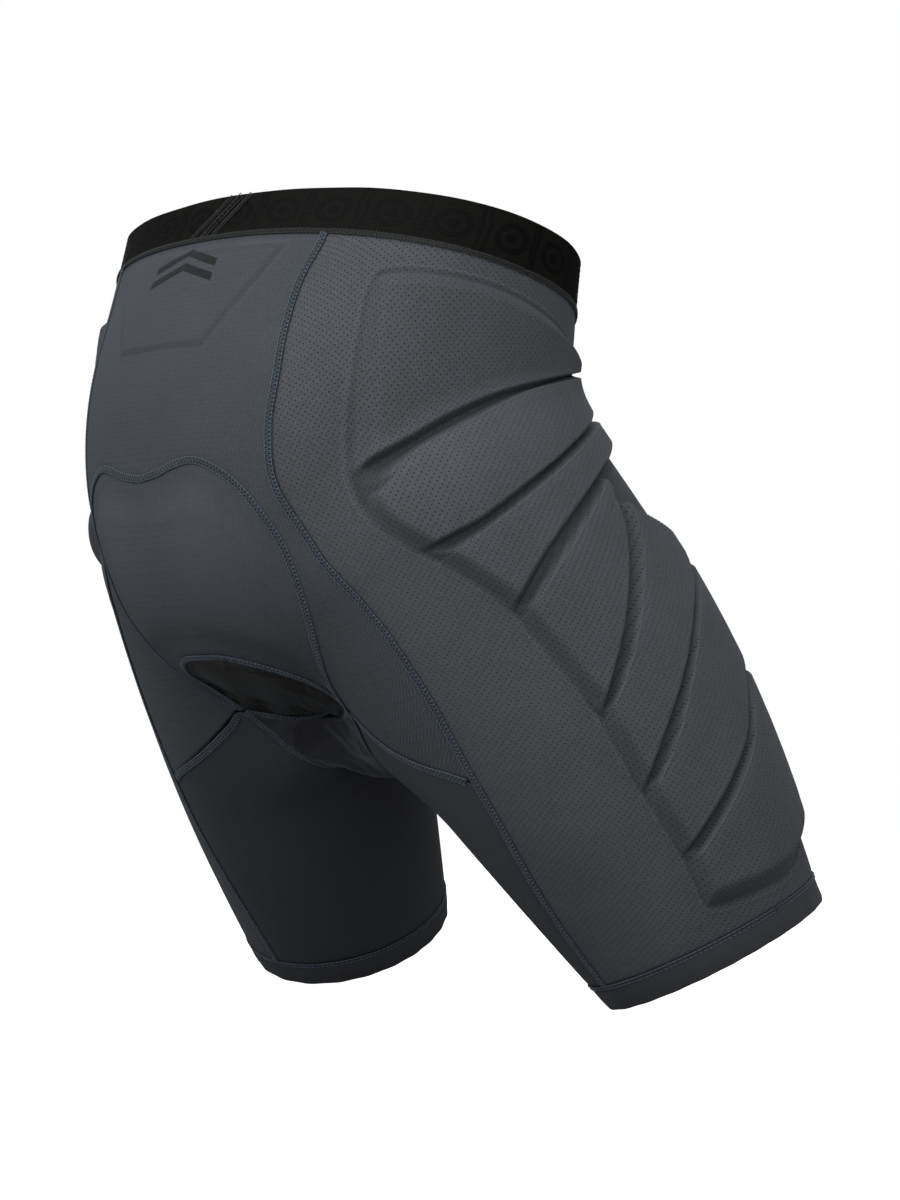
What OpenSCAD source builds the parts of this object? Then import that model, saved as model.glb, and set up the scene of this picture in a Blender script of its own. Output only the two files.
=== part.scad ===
// Padded impact shorts in their worn shape: stretch panels joined by flat seams, foam segments under a
// perforated side panel, a tailbone pad, a seat pad, an elastic waistband and two turned leg hems.
// Origin: centre of the waistband's top edge. +Z up, the wearer faces -Y, the wearer's right leg is at -X.

/* [Waist and hips] */
// Width of the waist opening
waist_w = 328; // [300:2:350]
// Depth of the waist opening, front to back
waist_d = 194; // [180:2:210]
// Width across the hips
hip_w = 278; // [268:2:290]
// Depth through the hips, front to back
hip_d = 267; // [258:1:276]
// Forward lean of the waist, in degrees
lean = 13.7; // [12:0.1:15]
// Height of the waistband
band_h = 26; // [22:1:32]

/* [Legs] */
// Length of the thigh tube from the hip point to the hem
leg_len = 284; // [270:1:290]
// Forward swing of the thighs, in degrees
flex = 30.6; // [28:0.1:33]
// Sideways spread of each thigh, in degrees
spread = 16; // [14:0.5:18]
// Half width of the leg opening, side to side
hem_rx = 59.5; // [56:0.5:64]
// Half depth of the leg opening, front to back
hem_ry = 67.5; // [64:0.5:72]
// Share of the chart taken by the turned hem
hem_share = 0.028; // [0.02:0.002:0.04]

/* [Fabric, foam and thread] */
// Thickness of the stretch fabric
cloth = 1.2; // [0.8:0.1:1.4]
// Height that the foam segments stand out at the sides
pad_rise = 9; // [6:0.5:10]
// Width of a flat seam
seam_w = 4; // [3:0.5:5]
// Thickness of the seat pad
seat_foam = 7; // [4:0.5:9]

/* [Hidden] */
gap = 0.9;              // half the slit between two panels, under a seam
hip_drop = 186;         // distance below the waist at which the hips are widest
hip_forward = 11.5;     // how far the hip section sits in front of the waist section
squareness = 2.2;       // exponent of the trunk's section
trunk_end = 71;         // where the trunk starts to close
trunk_round = 192;      // length over which it closes
blend = 11;             // radius that blends thigh, buttock and trunk
hip_pt = [84.5, 2, -162];
thigh_rx = 84;          // half width of the thigh at the hip point
thigh_ry = 101;         // half depth there
thigh_bow = [2.7, 8];   // swelling at mid thigh
thigh_shift = [6.7, 1.9];
thigh_turn = -18.6;     // turn of the thigh's oval section
buttock_pt = [77, -11, -203.5];
buttock_r = [81.5, 55, 106];
hem_flex = flex - 6.3;  // the hem's plane leans less than the thigh
hem_spread = spread - 2.6;
chart_top = [-70, 0, 0];
chart_mid = [-80, 5, -165];
seam_lift = 0.8;        // clearance of a seam over the fabric
thread = 0.8;           // thickness of a seam's thread layer

// ---- small maths -------------------------------------------------------------------------------
function clamp(v, lo, hi) = min(max(v, lo), hi);
function mix(a, b, t) = a + (b - a) * t;
function unit(v) = v / norm(v);
function soft_min(a, b, k) = let (h = clamp(0.5 + 0.5 * (b - a) / k, 0, 1)) mix(b, a, h) - k * h * (1 - h);
function smooth(t) = let (c = clamp(t, 0, 1)) c * c * (3 - 2 * c);
function flip(p) = [-p.x, p.y, p.z];
function flip_all(ps) = [for (p = ps) flip(p)];
function backwards(v) = [for (i = [len(v) - 1:-1:0]) v[i]];
function all_but_first(v) = [for (i = [1:1:len(v) - 1]) v[i]];
function steps(n, lo = 0, hi = 1) = [for (i = [0:n]) mix(lo, hi, i / n)];

// A smooth curve through a list of points (Catmull-Rom), t from 0 to 1 along the list
function curve_at(ps, t) =
    let (n = len(ps) - 1, x = clamp(t, 0, 1) * n, i = min(floor(x), n - 1), f = x - i,
         a = ps[max(i - 1, 0)], b = ps[i], c = ps[i + 1], d = ps[min(i + 2, n)])
    0.5 * (2 * b + (c - a) * f + (2 * a - 5 * b + 4 * c - d) * f * f + (3 * b - a - 3 * c + d) * f * f * f);

// The same for a table of [key, value] pairs: the value at a key, joined by smooth steps
function value_at(table, key, i = 0) =
    i >= len(table) - 2 || key <= table[i + 1][0]
        ? let (f = clamp((key - table[i][0]) / (table[i + 1][0] - table[i][0]), 0, 1),
               n = len(table) - 1, a = table[max(i - 1, 0)][1], b = table[i][1],
               c = table[i + 1][1], d = table[min(i + 2, n)][1])
          0.5 * (2 * b + (c - a) * f + (2 * a - 5 * b + 4 * c - d) * f * f
                 + (3 * b - a - 3 * c + d) * f * f * f)
        : value_at(table, key, i + 1);

// ---- the worn shape: a smooth union of trunk, buttocks and thighs, negative inside ---------------
function trunk(p) =
    let (s = p.y * sin(lean) - p.z * cos(lean), w = sin(90 * clamp(s / hip_drop, -0.3, 1)),
         a = mix(waist_w, hip_w, w) / 2, b = mix(waist_d, hip_d, w) / 2,
         back = p.y * cos(lean) + p.z * sin(lean) + hip_forward * w,
         close = max(0, s - trunk_end) / trunk_round, q = squareness)
    (pow(pow(abs(p.x) / a, q) + pow(abs(back) / b, q) + pow(close, q), 1 / q) - 1) * min(a, b);

thigh_dir = [sin(spread), -sin(flex) * cos(spread), -cos(flex) * cos(spread)];
thigh_out = [cos(spread), sin(flex) * sin(spread), cos(flex) * sin(spread)];
thigh_back = cross(thigh_dir, thigh_out);

function thigh(p) =
    let (v = [abs(p.x), p.y, p.z] - hip_pt, t = v * thigh_dir, s = clamp(t / leg_len, 0, 1),
         bow = sin(180 * s), u0 = v * thigh_out - thigh_shift.x * bow,
         g0 = v * thigh_back - thigh_shift.y * bow,
         u = cos(thigh_turn) * u0 + sin(thigh_turn) * g0, g = cos(thigh_turn) * g0 - sin(thigh_turn) * u0,
         f = clamp(t / leg_len, -0.2, 1.05),
         rx = mix(thigh_rx, hem_rx, f) + thigh_bow.x * bow,
         ry = mix(thigh_ry, hem_ry, f) + thigh_bow.y * bow,
         cap = min(0, t) / 90)
    (norm([u / rx, g / ry, cap]) - 1) * min(rx, ry);

function buttock(p) =
    let (v = [abs(p.x), p.y, p.z] - buttock_pt)
    (norm([v.x / buttock_r.x, v.y / buttock_r.y, v.z / buttock_r.z]) - 1) * min(buttock_r);

function shape(p) = soft_min(soft_min(trunk(p), buttock(p), blend), thigh(p), blend);
function slope(p, e = 0.5) =
    [shape(p + [e, 0, 0]) - shape(p - [e, 0, 0]), shape(p + [0, e, 0]) - shape(p - [0, e, 0]),
     shape(p + [0, 0, e]) - shape(p - [0, 0, e])] / (2 * e);

// Nearest point of the worn surface, and [point, outward normal] there
function settle(p, i = 4) = i == 0 ? p : let (g = slope(p)) settle(p - g * (shape(p) / (g * g)), i - 1);
function skin_at(p, i = 4) = let (q = settle(p, i)) [q, unit(slope(q))];
function raised(s, h) = s[0] + s[1] * h;

// ---- the leg chart: k runs from 0 at the waist to 1 at the hem, a is the angle round the right leg,
// 0 at the outside, 90 at the back, 180 at the inside ---------------------------------------------
waist_down = [0, sin(lean), -cos(lean)];
hem_down = [-sin(hem_spread), -sin(hem_flex) * cos(hem_spread), -cos(hem_flex) * cos(hem_spread)];
hem_pt = flip(hip_pt) + flip(thigh_dir) * leg_len;
function ring_centre(k) = (1 - k) * (1 - k) * chart_top + 2 * k * (1 - k) * chart_mid + k * k * hem_pt;
function ring_normal(k) = unit(mix(waist_down, hem_down, k));
function ring_dir(k, a) =
    let (n = ring_normal(k), side = unit([-1, 0, 0] + n.x * n), rear = cross(n, side))
    cos(a) * side + sin(a) * rear;
function march(c, d, r = 20, i = 40) =
    let (f = shape(c + d * r)) i == 0 || f > -0.01 ? r : march(c, d, r - 0.95 * f, i - 1);
function chart(k, a) =
    let (c = ring_centre(k), d = ring_dir(k, a), p = c + d * march(c, d)) [p, unit(slope(p))];

// A point of the trunk at distance s below the waist's edge; turn 0 is the wearer's right, 90 the back
function power(v, e) = sign(v) * pow(abs(v), e);
function trunk_pt(s, turn) =
    let (w = sin(90 * s / hip_drop), e = 2 / squareness)
    [-mix(waist_w, hip_w, w) / 2 * power(cos(turn), e), 0, 0] + waist_down * s
    + [0, cos(lean), sin(lean)] * (mix(waist_d, hip_d, w) / 2 * power(sin(turn), e) - hip_forward * w);
edge_s = band_h + gap;  // where the panels start, below the waistband

// Share of the chart at which a panel meets the waistband's lower edge, for an angle of the chart
function waist_k(a, lo = 0, hi = 0.3, i = 11) =
    let (m = (lo + hi) / 2)
    i == 0 ? m : chart(m, a)[0] * waist_down < edge_s ? waist_k(a, m, hi, i - 1) : waist_k(a, lo, m, i - 1);

// ---- seam lines on the right side, as round numbers ------------------------------------------------
hem_k = 1 - hem_share;
// [k, angle] of the rear side seam and of the front side seam
rear_seam = [[0.07, 76.5], [0.14, 82.5], [0.2, 85.2], [0.27, 87.3], [0.33, 90], [0.4, 91.5],
             [0.48, 88.5], [0.52, 85], [0.57, 82], [0.65, 80.5], [0.74, 82.5], [0.79, 84.5],
             [0.85, 89], [0.91, 94], [1, 100]];
front_seam = [[0.07, -66], [0.3, -72], [0.6, -74], [0.8, -72], [1, -68]];
low_k = 0.737;          // where the rear thigh seam leaves the side seam
front_low_k = 0.70;     // the same at the front
function rear_pt(k) = chart(k, value_at(rear_seam, k))[0];
function front_pt(k) = chart(k, value_at(front_seam, k))[0];

junction = [-47, 37, -262];
// Seat seam: from the centre of the back, over the hump and down beside the seat
seat_line = [[0, 144, -136], [-15, 144, -134], [-28, 142, -130], [-42, 139, -128], [-56, 135, -133],
             [-68, 128, -143], [-77, 121, -157], [-83, 112, -173], [-84, 104, -188], [-82, 94, -208],
             [-74, 81, -228], [-63, 65, -244], junction];
// Rear edge of the gusset, from its tip to the junction
gusset_line = [[0, 102, -233], [-16, 100, -233], [-30, 93, -236], [-41, 81, -241], [-47, 66, -247],
               [-49, 51, -254], junction];
// Seam across the crotch, from its middle to the junction
cross_line = [[0, 10, -266], [-13, 12, -266], [-26, 20, -265], [-37, 29, -264], junction];
// Edge of the front pouch on the chart as [angle, k], from the junction forwards and up to the waistband
pouch_path = [[125.3, 0.632], [131.5, 0.655], [138, 0.68], [147.4, 0.704], [158, 0.714], [178, 0.721],
              [213, 0.684], [242, 0.614], [257, 0.52], [256, 0.372], [259, 0.204], [263, waist_k(263)]];
fork = 5 / 11;          // share of pouch_path at which the front thigh seam leaves it
fork_pt = [178, 0.721];
front_low_pt = [360 + value_at(front_seam, front_low_k), front_low_k];
// Upper edge of the inner leg panel at the rear, [angle, k]: the rear thigh seam, then the pouch's edge
leg_top = [[83, 0.7385], [90, 0.7242], [98, 0.7091], [106, 0.6922], [113, 0.6735], [119.5, 0.6534],
           [125.3, 0.6334], [131.5, 0.657], [138, 0.682], [147.4, 0.706], [158, 0.716], [178, 0.723]];
function leg_top_k(a) = a < fork_pt.x ? value_at(leg_top, a)
    : mix(0.723, front_low_k + 0.002, (a - fork_pt.x) / (front_low_pt.x - fork_pt.x));

// ---- building blocks -------------------------------------------------------------------------------
// Faces of a closed sheet between two grids of rows x cols points; wrap joins the last column to the first
function sheet_faces(rows, cols, wrap) =
    let (n = rows * cols, last = wrap ? cols - 1 : cols - 2)
    concat(
        [for (r = [0:rows - 2], c = [0:last]) let (d = (c + 1) % cols, a = r * cols + c, b = r * cols + d)
            each [[a, b, b + cols], [a, b + cols, a + cols]]],
        [for (r = [0:rows - 2], c = [0:last])
            let (d = (c + 1) % cols, a = n + r * cols + c, b = n + r * cols + d)
            each [[a, b + cols, b], [a, a + cols, b + cols]]],
        [for (c = [0:last]) let (a = c, b = (c + 1) % cols) each [[b, a, a + n], [b, a + n, b + n]]],
        [for (c = [0:last]) let (a = n - cols + c, b = n - cols + (c + 1) % cols)
            each [[a, b, b + n], [a, b + n, a + n]]],
        wrap ? [] : [for (r = [0:rows - 2]) let (a = r * cols, b = a + cols)
            each [[a, b, b + n], [a, b + n, a + n]]],
        wrap ? [] : [for (r = [0:rows - 2]) let (a = r * cols + cols - 1, b = a + cols)
            each [[b, a, a + n], [b, a + n, b + n]]]);

function turned(faces, other) = other ? [for (f = faces) [f[0], f[2], f[1]]] : faces;

// True where the grid's columns and rows turn anticlockwise seen from outside the garment
function winds_out(grid) =
    let (r = floor((len(grid) - 1) / 2), c = floor((len(grid[0]) - 1) / 2), m = grid[r][c])
    cross(grid[r][c + 1][0] - m[0], grid[r + 1][c][0] - m[0]) * m[1] > 0;

// A sheet from a grid of [point, normal], between heights lo and hi over the worn surface. rise is an
// optional grid of extra heights, left mirrors the sheet, wrap closes it into a ring
module sheet(grid, lo, hi, left = false, wrap = false, rise = undef) {
    top = [for (r = [0:len(grid) - 1], c = [0:len(grid[0]) - 1])
        raised(grid[r][c], hi + (is_undef(rise) ? 0 : rise[r][c]))];
    bottom = [for (r = [0:len(grid) - 1], c = [0:len(grid[0]) - 1])
        raised(grid[r][c], lo + (is_undef(rise) ? 0 : rise[r][c]))];
    pts = concat(top, bottom);
    faces = sheet_faces(len(grid), len(grid[0]), wrap);
    polyhedron(left ? flip_all(pts) : pts, turned(faces, winds_out(grid) != left));
}

// A grid stretched between two lines of points, settled on the worn surface, trimmed by gap at both lines
function between(line_a, line_b, rows) =
    [for (v = steps(rows)) [for (i = [0:len(line_a) - 1])
        let (a = line_a[i], b = line_b[i], trim = gap / max(norm(b - a), 4 * gap))
        skin_at(mix(a, b, mix(trim, 1 - trim, v)))]];

function samples(line, n, lo = 0, hi = 1) = [for (t = steps(n, lo, hi)) curve_at(line, t)];

// A flat seam along settled points: a ribbon of thread over the slit between two panels
module ribbon(points, left = false, closed = false, w = seam_w, lo = seam_lift, hi = seam_lift + thread) {
    skins = [for (p = points) skin_at(p, 3)];
    n = len(skins);
    rows = [for (i = [0:n - 1])
        let (a = skins[closed ? (i + n - 1) % n : max(i - 1, 0)][0],
             b = skins[closed ? (i + 1) % n : min(i + 1, n - 1)][0],
             side = unit(cross(skins[i][1], b - a)) * w / 2)
        [[skins[i][0] - side, skins[i][1]], [skins[i][0] + side, skins[i][1]]]];
    grid = [for (j = [0:1]) [for (r = rows) r[j]]];
    sheet(grid, lo, hi, left, closed);
}

// ---- foam segments of the right side, each between two edges given as [angle, k] ------------------
hip_upper = [[[61, 0.138], [50, 0.124], [30, 0.121], [10, 0.127], [-15, 0.146], [-44, 0.178]],
             [[77.5, 0.392], [59, 0.357], [44, 0.325], [23, 0.291], [-5, 0.257], [-44, 0.208]]];
hip_middle = [[[76, 0.437], [59, 0.379], [42, 0.345], [10, 0.287], [-15, 0.255], [-44, 0.219]],
              [[65, 0.489], [53, 0.473], [42, 0.457], [13, 0.397], [-10, 0.35], [-44, 0.288]]];
hip_lower = [[[60.5, 0.505], [42, 0.469], [13, 0.41], [-10, 0.363], [-44, 0.302]],
             [[45, 0.572], [25, 0.505], [-1, 0.434], [-22, 0.384], [-44, 0.338]]];
thigh_1 = [[[44, 0.587], [41.5, 0.61], [37, 0.66], [33, 0.7]],
           [[-13, 0.418], [-11, 0.49], [8, 0.61], [31, 0.706]]];
thigh_2 = [[[-19, 0.457], [-16, 0.5], [-6, 0.565], [11, 0.648], [33, 0.722]],
           [[-50, 0.505], [-38, 0.563], [-26, 0.609], [-2, 0.702], [31, 0.802]]];
thigh_3 = [[[-50, 0.533], [-38, 0.577], [-25, 0.624], [-7, 0.697], [10, 0.758], [31.5, 0.812]],
           [[-51, 0.68], [-36, 0.727], [-23, 0.781], [-10, 0.813], [5, 0.842], [29, 0.878]]];
thigh_4 = [[[-52, 0.705], [-36, 0.743], [-22, 0.797], [0, 0.846], [29, 0.89]],
           [[-52, 0.9], [-38, 0.925], [-17, 0.947], [8, 0.94], [32, 0.934]]];
PADS = [hip_upper, hip_middle, hip_lower, thigh_1, thigh_2, thigh_3, thigh_4];
// Edges of the pocket that holds the segments
pocket_rear = [[62, 0.118], [75, 0.25], [82, 0.4], [74, 0.5],
               [50, 0.59], [39, 0.7], [36, 0.82], [36, 0.945]];
pocket_front = [[-48, 0.165], [-50, 0.27], [-50, 0.36], [-53, 0.46],
                [-54, 0.58], [-55, 0.7], [-56, 0.82], [-56, 0.915]];

// The chart laid flat, in millimetres
turn_mm = 1.66;         // millimetres round the leg for each degree
length_mm = 460;        // millimetres down the side from waist to hem
function flat(a, k) = [a * turn_mm, k * length_mm];
function outline(pad) = [for (q = concat(pad[0], backwards(pad[1]))) flat(q.x, q.y)];
function to_segment(p, a, b) = let (d = b - a, t = clamp((p - a) * d / (d * d), 0, 1)) norm(p - a - d * t);
function crossings(p, o, i = 0) =
    i == len(o) ? 0
    : let (a = o[i], b = o[(i + 1) % len(o)],
           hit = (a.y > p.y) != (b.y > p.y)
                 && p.x < (b.x - a.x) * (p.y - a.y) / (b.y - a.y) + a.x)
      (hit ? 1 : 0) + crossings(p, o, i + 1);
// Distance into an outline, negative outside it
function inside(p, o) =
    let (d = min([for (i = [0:len(o) - 1]) to_segment(p, o[i], o[(i + 1) % len(o)])]))
    crossings(p, o) % 2 == 1 ? d : -d;
OUTLINES = [for (pad = PADS) outline(pad)];
cover_reach = 14;       // how far outside the foam the panel starts to rise
cover_slope = 10;       // width of the panel's slope beside the foam
function cover_rise(a, k) =
    let (d = max([for (o = OUTLINES) inside(flat(a, k), o)]))
    pad_rise * smooth((cover_reach + d) / cover_slope) * smooth((hem_k - k) / 0.02);

pad_inset = 2.5;        // how far the foam stays inside its moulded outline
pad_bevel = 9;          // width of the foam's sloping rim
pad_base = -0.8;        // height of the foam's flat back over the worn surface
pad_edge = 2;           // height of the foam's rim
pad_top = pad_rise - cloth - 0.8;

module foam_segment(pad, cols, rows, left) {
    o = outline(pad);
    angles = [for (v = steps(rows)) [for (u = steps(cols))
        let (a = curve_at(pad[0], u), b = curve_at(pad[1], u),
             ends = pad_inset / max(norm(flat(b.x, b.y) - flat(a.x, a.y)), 4 * pad_inset))
        mix(a, b, mix(ends, 1 - ends, v))]];
    trimmed = [for (r = angles)
        let (n = len(r) - 1, s = pad_inset / norm(flat(r[n].x, r[n].y) - flat(r[0].x, r[0].y)),
             pull = min(0.8, s * n))
        [for (i = [0:n]) i == 0 ? mix(r[0], r[1], pull) : i == n ? mix(r[n], r[n - 1], pull) : r[i]]];
    grid = [for (r = trimmed) [for (q = r) chart(q.y, q.x)]];
    rise = [for (r = trimmed) [for (q = r)
        mix(pad_edge, pad_top, smooth((inside(flat(q.x, q.y), o) - pad_inset) / pad_bevel))]];
    top = [for (i = [0:rows]) [for (j = [0:cols]) raised(grid[i][j], rise[i][j])]];
    bottom = [for (i = [0:rows]) [for (j = [0:cols]) raised(grid[i][j], pad_base)]];
    pts = concat([for (r = top) each r], [for (r = bottom) each r]);
    faces = sheet_faces(rows + 1, cols + 1, false);
    polyhedron(left ? flip_all(pts) : pts, turned(faces, winds_out(grid) != left));
}

// ---- panels ------------------------------------------------------------------------------------------
slit = gap / 95 * 180 / PI;     // the slit beside a side seam, as an angle of the chart
top_hem_k = hem_k - 0.0015;

module side_panel(left) {
    rows = 36;
    cols = 23;
    tops = [for (u = steps(cols))
        waist_k(mix(value_at(front_seam, front_top_k), value_at(rear_seam, rear_top_k), u))];
    placed = [for (v = steps(rows)) [for (j = [0:cols]) let (k = mix(tops[j], top_hem_k, v))
        [mix(value_at(front_seam, k) + slit, value_at(rear_seam, k) - slit, j / cols), k]]];
    color("dimgray")
        sheet([for (r = placed) [for (q = r) chart(q.y, q.x)]], -cloth, 0, left, false,
              [for (r = placed) [for (q = r) cover_rise(q.x, q.y)]]);
}

module side_lining(left) {
    grid = [for (t = steps(22)) let (a = curve_at(pocket_rear, t), b = curve_at(pocket_front, t))
        [for (u = steps(7)) let (q = mix(a, b, u)) chart(q.y, q.x)]];
    color("gray") sheet(grid, pad_base - 2.4, pad_base - 1.6, left);
}

// Rear side seam below the waist, front side seam, as lines of points
rear_top_k = 0.0705;
function rear_side(n, lo = rear_top_k, hi = top_hem_k) = [for (k = steps(n, lo, hi)) rear_pt(k)];
function front_side(n, lo, hi) = [for (k = steps(n, lo, hi)) front_pt(k)];
front_top_k = waist_k(value_at(front_seam, 0.1));

// Outer edge of the back panel's right half: along the waistband, then down the rear side seam
rear_corner = 57.3;       // turn on the trunk at which the rear side seam meets the waistband
function back_outer() = concat([for (t = steps(5, 90, rear_corner)) trunk_pt(edge_s, t)],
                               all_but_first(rear_side(18, rear_top_k, low_k - 0.001)));
function back_inner() = concat(samples(seat_line, 5, 0, 0.36),
                               all_but_first(samples(seat_line, 18, 0.36, 0.985)));
function both_sides(line) = concat(backwards(flip_all(line)), all_but_first(line));

module back_panel() {
    color("slategray") sheet(between(both_sides(back_inner()), both_sides(back_outer()), 6), -cloth, 0);
}

module seat_panel() {
    outer = both_sides(samples(seat_line, 16, 0, 0.95));
    inner = both_sides(samples(gusset_line, 16, 0, 0.92));
    color("darkslategray") sheet(between(outer, inner, 6), -cloth, 0);
}

module crotch_gusset() {
    rear = both_sides(samples(gusset_line, 9, 0, 0.93));
    front = both_sides(samples(cross_line, 9, 0, 0.93));
    color([0.13, 0.14, 0.16]) sheet(between(rear, front, 6), -cloth, 0);
}

function pouch_edge(v) = let (q = curve_at(pouch_path, v)) chart(q.y, q.x)[0];

// Normals of a grid of plain points, turned to face away from a point inside the garment
function with_normals(g, core) = [for (i = [0:len(g) - 1]) [for (j = [0:len(g[0]) - 1])
    let (down = g[min(i + 1, len(g) - 1)][j] - g[max(i - 1, 0)][j],
         over = g[i][min(j + 1, len(g[0]) - 1)] - g[i][max(j - 1, 0)],
         n = unit(cross(down, over)), away = g[i][j] - core)
    [g[i][j], n * away > 0 ? n : -n]]];

// The front pouch spans the fork between its two edge seams, from the cross seam up to the waistband
pouch_rows = 18;
pouch_cols = 10;
pouch_slit = 2.3;       // the pouch stops this far short of its edge line, clear of the seam
module front_pouch() {
    edge = [for (v = steps(pouch_rows, 0.012, 1)) pouch_edge(v)];
    belly = trunk_pt(edge_s, -90) - edge[pouch_rows];
    grid = [for (i = [0:pouch_rows]) [for (u = steps(pouch_cols, -1, 1))
        let (v = i / pouch_rows, e = edge[i], near = pow(1 - v, 3), trim = 1 - pouch_slit / abs(e.x),
             start = curve_at(cross_line, abs(u)) - [0, 2 * gap, 0] - junction,
             bulge = [0, belly.y - 10 * sin(180 * v), belly.z] * min(1, 2 * v) * pow(1 - u * u, 2))
        [e.x * u * trim, e.y, e.z] + [0, start.y, start.z] * near + bulge]];
    color([0.15, 0.16, 0.18]) sheet(with_normals(grid, [0, 0, -150]), -cloth, 0);
}

module front_panel(left) {
    grid = [for (v = steps(14)) [for (u = steps(7))
        let (inner = curve_at(pouch_path, mix(fork, 1, v)), k = mix(front_low_k, front_top_k, v),
             outer = [360 + value_at(front_seam, k) - slit, k],
             q = mix(inner + [slit, 0], outer, u), top = waist_k(q.x) - mix(inner.y, outer.y, u))
        chart(q.y + top * pow(v, 20) - 0.002 * pow(1 - v, 8), q.x)]];
    color("slategray") sheet(grid, -cloth, 0, left);
}

module leg_panel(left) {
    grid = [for (v = steps(9)) [for (u = steps(20))
        let (a0 = mix(83, front_low_pt.x, u), k = mix(leg_top_k(a0) + 0.0015, top_hem_k, v),
             a = mix(value_at(rear_seam, k) + slit, 360 + value_at(front_seam, k) - slit, u))
        chart(k, a)]];
    color([0.2, 0.21, 0.24]) sheet(grid, -cloth, 0, left);
}

module hem_cuff(left) {
    grid = [for (k = [hem_k + 0.0015, 1]) [for (i = [0:35]) chart(k, i * 10)]];
    color("dimgray") sheet(grid, -cloth * 1.5, 0, left, true);
}

// ---- waistband and inner layers ----------------------------------------------------------------------
module waistband() {
    grid = [for (s = [0, band_h]) [for (i = [0:47]) let (p = trunk_pt(s, i * 7.5)) [p, unit(slope(p))]]];
    color("black") sheet(grid, -1.8, 0, false, true);
}

bartack_turn = 82.5;    // turn on the trunk at the top of the waistband's joining stitches
bartack_slant = 6.5;    // how far round they run on the way down
module waistband_bartack() {
    line = [for (f = steps(6)) trunk_pt(mix(2, band_h - 2, f), bartack_turn + bartack_slant * f)];
    color("black") ribbon(line, false, false, 5, 0.3, 1.1);
}

// Tailbone pad: a trapezoid, narrow end down, as [half width, distance below the waist]
tail_shape = [[74, 34], [64, 52], [51, 74], [38, 95]];
function tail_grid(grow, rows, cols) =
    [for (t = steps(rows))
        let (q = curve_at(tail_shape, t), s = mix(34, 95, t) + grow * (2 * t - 1))
        [for (u = steps(cols, -1, 1))
            let (x = (q.x + grow) * u) skin_at(waist_down * s + [x, 125 - 0.0035 * x * x, 0], 5)]];
module tailbone_pad() { color("black") sheet(tail_grid(-2, 7, 12), -7, -2); }
module tailbone_pocket() { color("gray") sheet(tail_grid(4, 6, 10), -8.6, -7.6); }

// Seat pad and its cover: the seat panel's shape, drawn in towards its middle
function drawn_in(line_a, line_b, lo, hi, rows) =
    [for (v = steps(rows, lo, hi)) [for (i = [0:len(line_a) - 1]) skin_at(mix(line_a[i], line_b[i], v))]];
function seat_grid(reach, rows, cols, lo) =
    drawn_in(both_sides(samples(seat_line, cols, 0, reach)),
             both_sides(samples(gusset_line, cols, 0, reach)), lo, 0.88, rows);
module seat_pad() { color("black") sheet(seat_grid(0.74, 6, 9, 0.16), -2 - seat_foam, -2); }
module seat_pad_cover() {
    color("gray") sheet(seat_grid(0.78, 5, 9, 0.1), -3.9 - seat_foam, -2.9 - seat_foam);
}

// ---- flat seams: ribbons of thread over the slits between the panels ---------------------------------
module waist_seam() {
    ring = [for (i = [0:47]) trunk_pt(edge_s - gap / 2, i * 7.5)];
    color("midnightblue") ribbon(ring, false, true, 3, seam_lift + 0.2, seam_lift + 1);
}
module back_seam(left) { color("midnightblue") ribbon(rear_side(32, 0.079, hem_k - 0.008), left); }
module front_seam_thread(left) {
    color("midnightblue") ribbon(front_side(28, front_top_k + 0.009, hem_k - 0.008), left);
}
module seat_seam() { color("midnightblue") ribbon(both_sides(samples(seat_line, 24, 0, 0.95))); }
module gusset_seam() { color("midnightblue") ribbon(both_sides(samples(gusset_line, 14, 0, 0.85))); }
module cross_seam() { color("midnightblue") ribbon(both_sides(samples(cross_line, 7, 0, 0.8)), w = 3); }
module pouch_seam(left) {
    color("midnightblue") ribbon([for (v = steps(30, 0.03, 0.975)) pouch_edge(v)], left, w = 3);
}
module thigh_seam(left) {
    rear = [for (a = steps(7, 86.5, 121)) let (k = value_at(leg_top, a) - 0.001) chart(k, a)[0]];
    color("midnightblue") ribbon(rear, left);
}
module front_thigh_seam(left) {
    front = [for (u = steps(11, 0.105, 0.96)) let (q = mix(fork_pt, front_low_pt, u)) chart(q.y, q.x)[0]];
    color("midnightblue") ribbon(front, left);
}
module hem_stitch(left) {
    color("midnightblue") ribbon([for (i = [0:35]) chart(hem_k, i * 10)[0]], left, true, 2.4);
}

// ---- the foam segments, from the waistband down -------------------------------------------------------
module hip_pad_upper(left) { color("black") foam_segment(hip_upper, 10, 8, left); }
module hip_pad_middle(left) { color("black") foam_segment(hip_middle, 10, 4, left); }
module hip_pad_lower(left) { color("black") foam_segment(hip_lower, 9, 4, left); }
module thigh_pad_1(left) { color("black") foam_segment(thigh_1, 8, 5, left); }
module thigh_pad_2(left) { color("black") foam_segment(thigh_2, 9, 5, left); }
module thigh_pad_3(left) { color("black") foam_segment(thigh_3, 9, 5, left); }
module thigh_pad_4(left) { color("black") foam_segment(thigh_4, 7, 6, left); }

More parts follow.
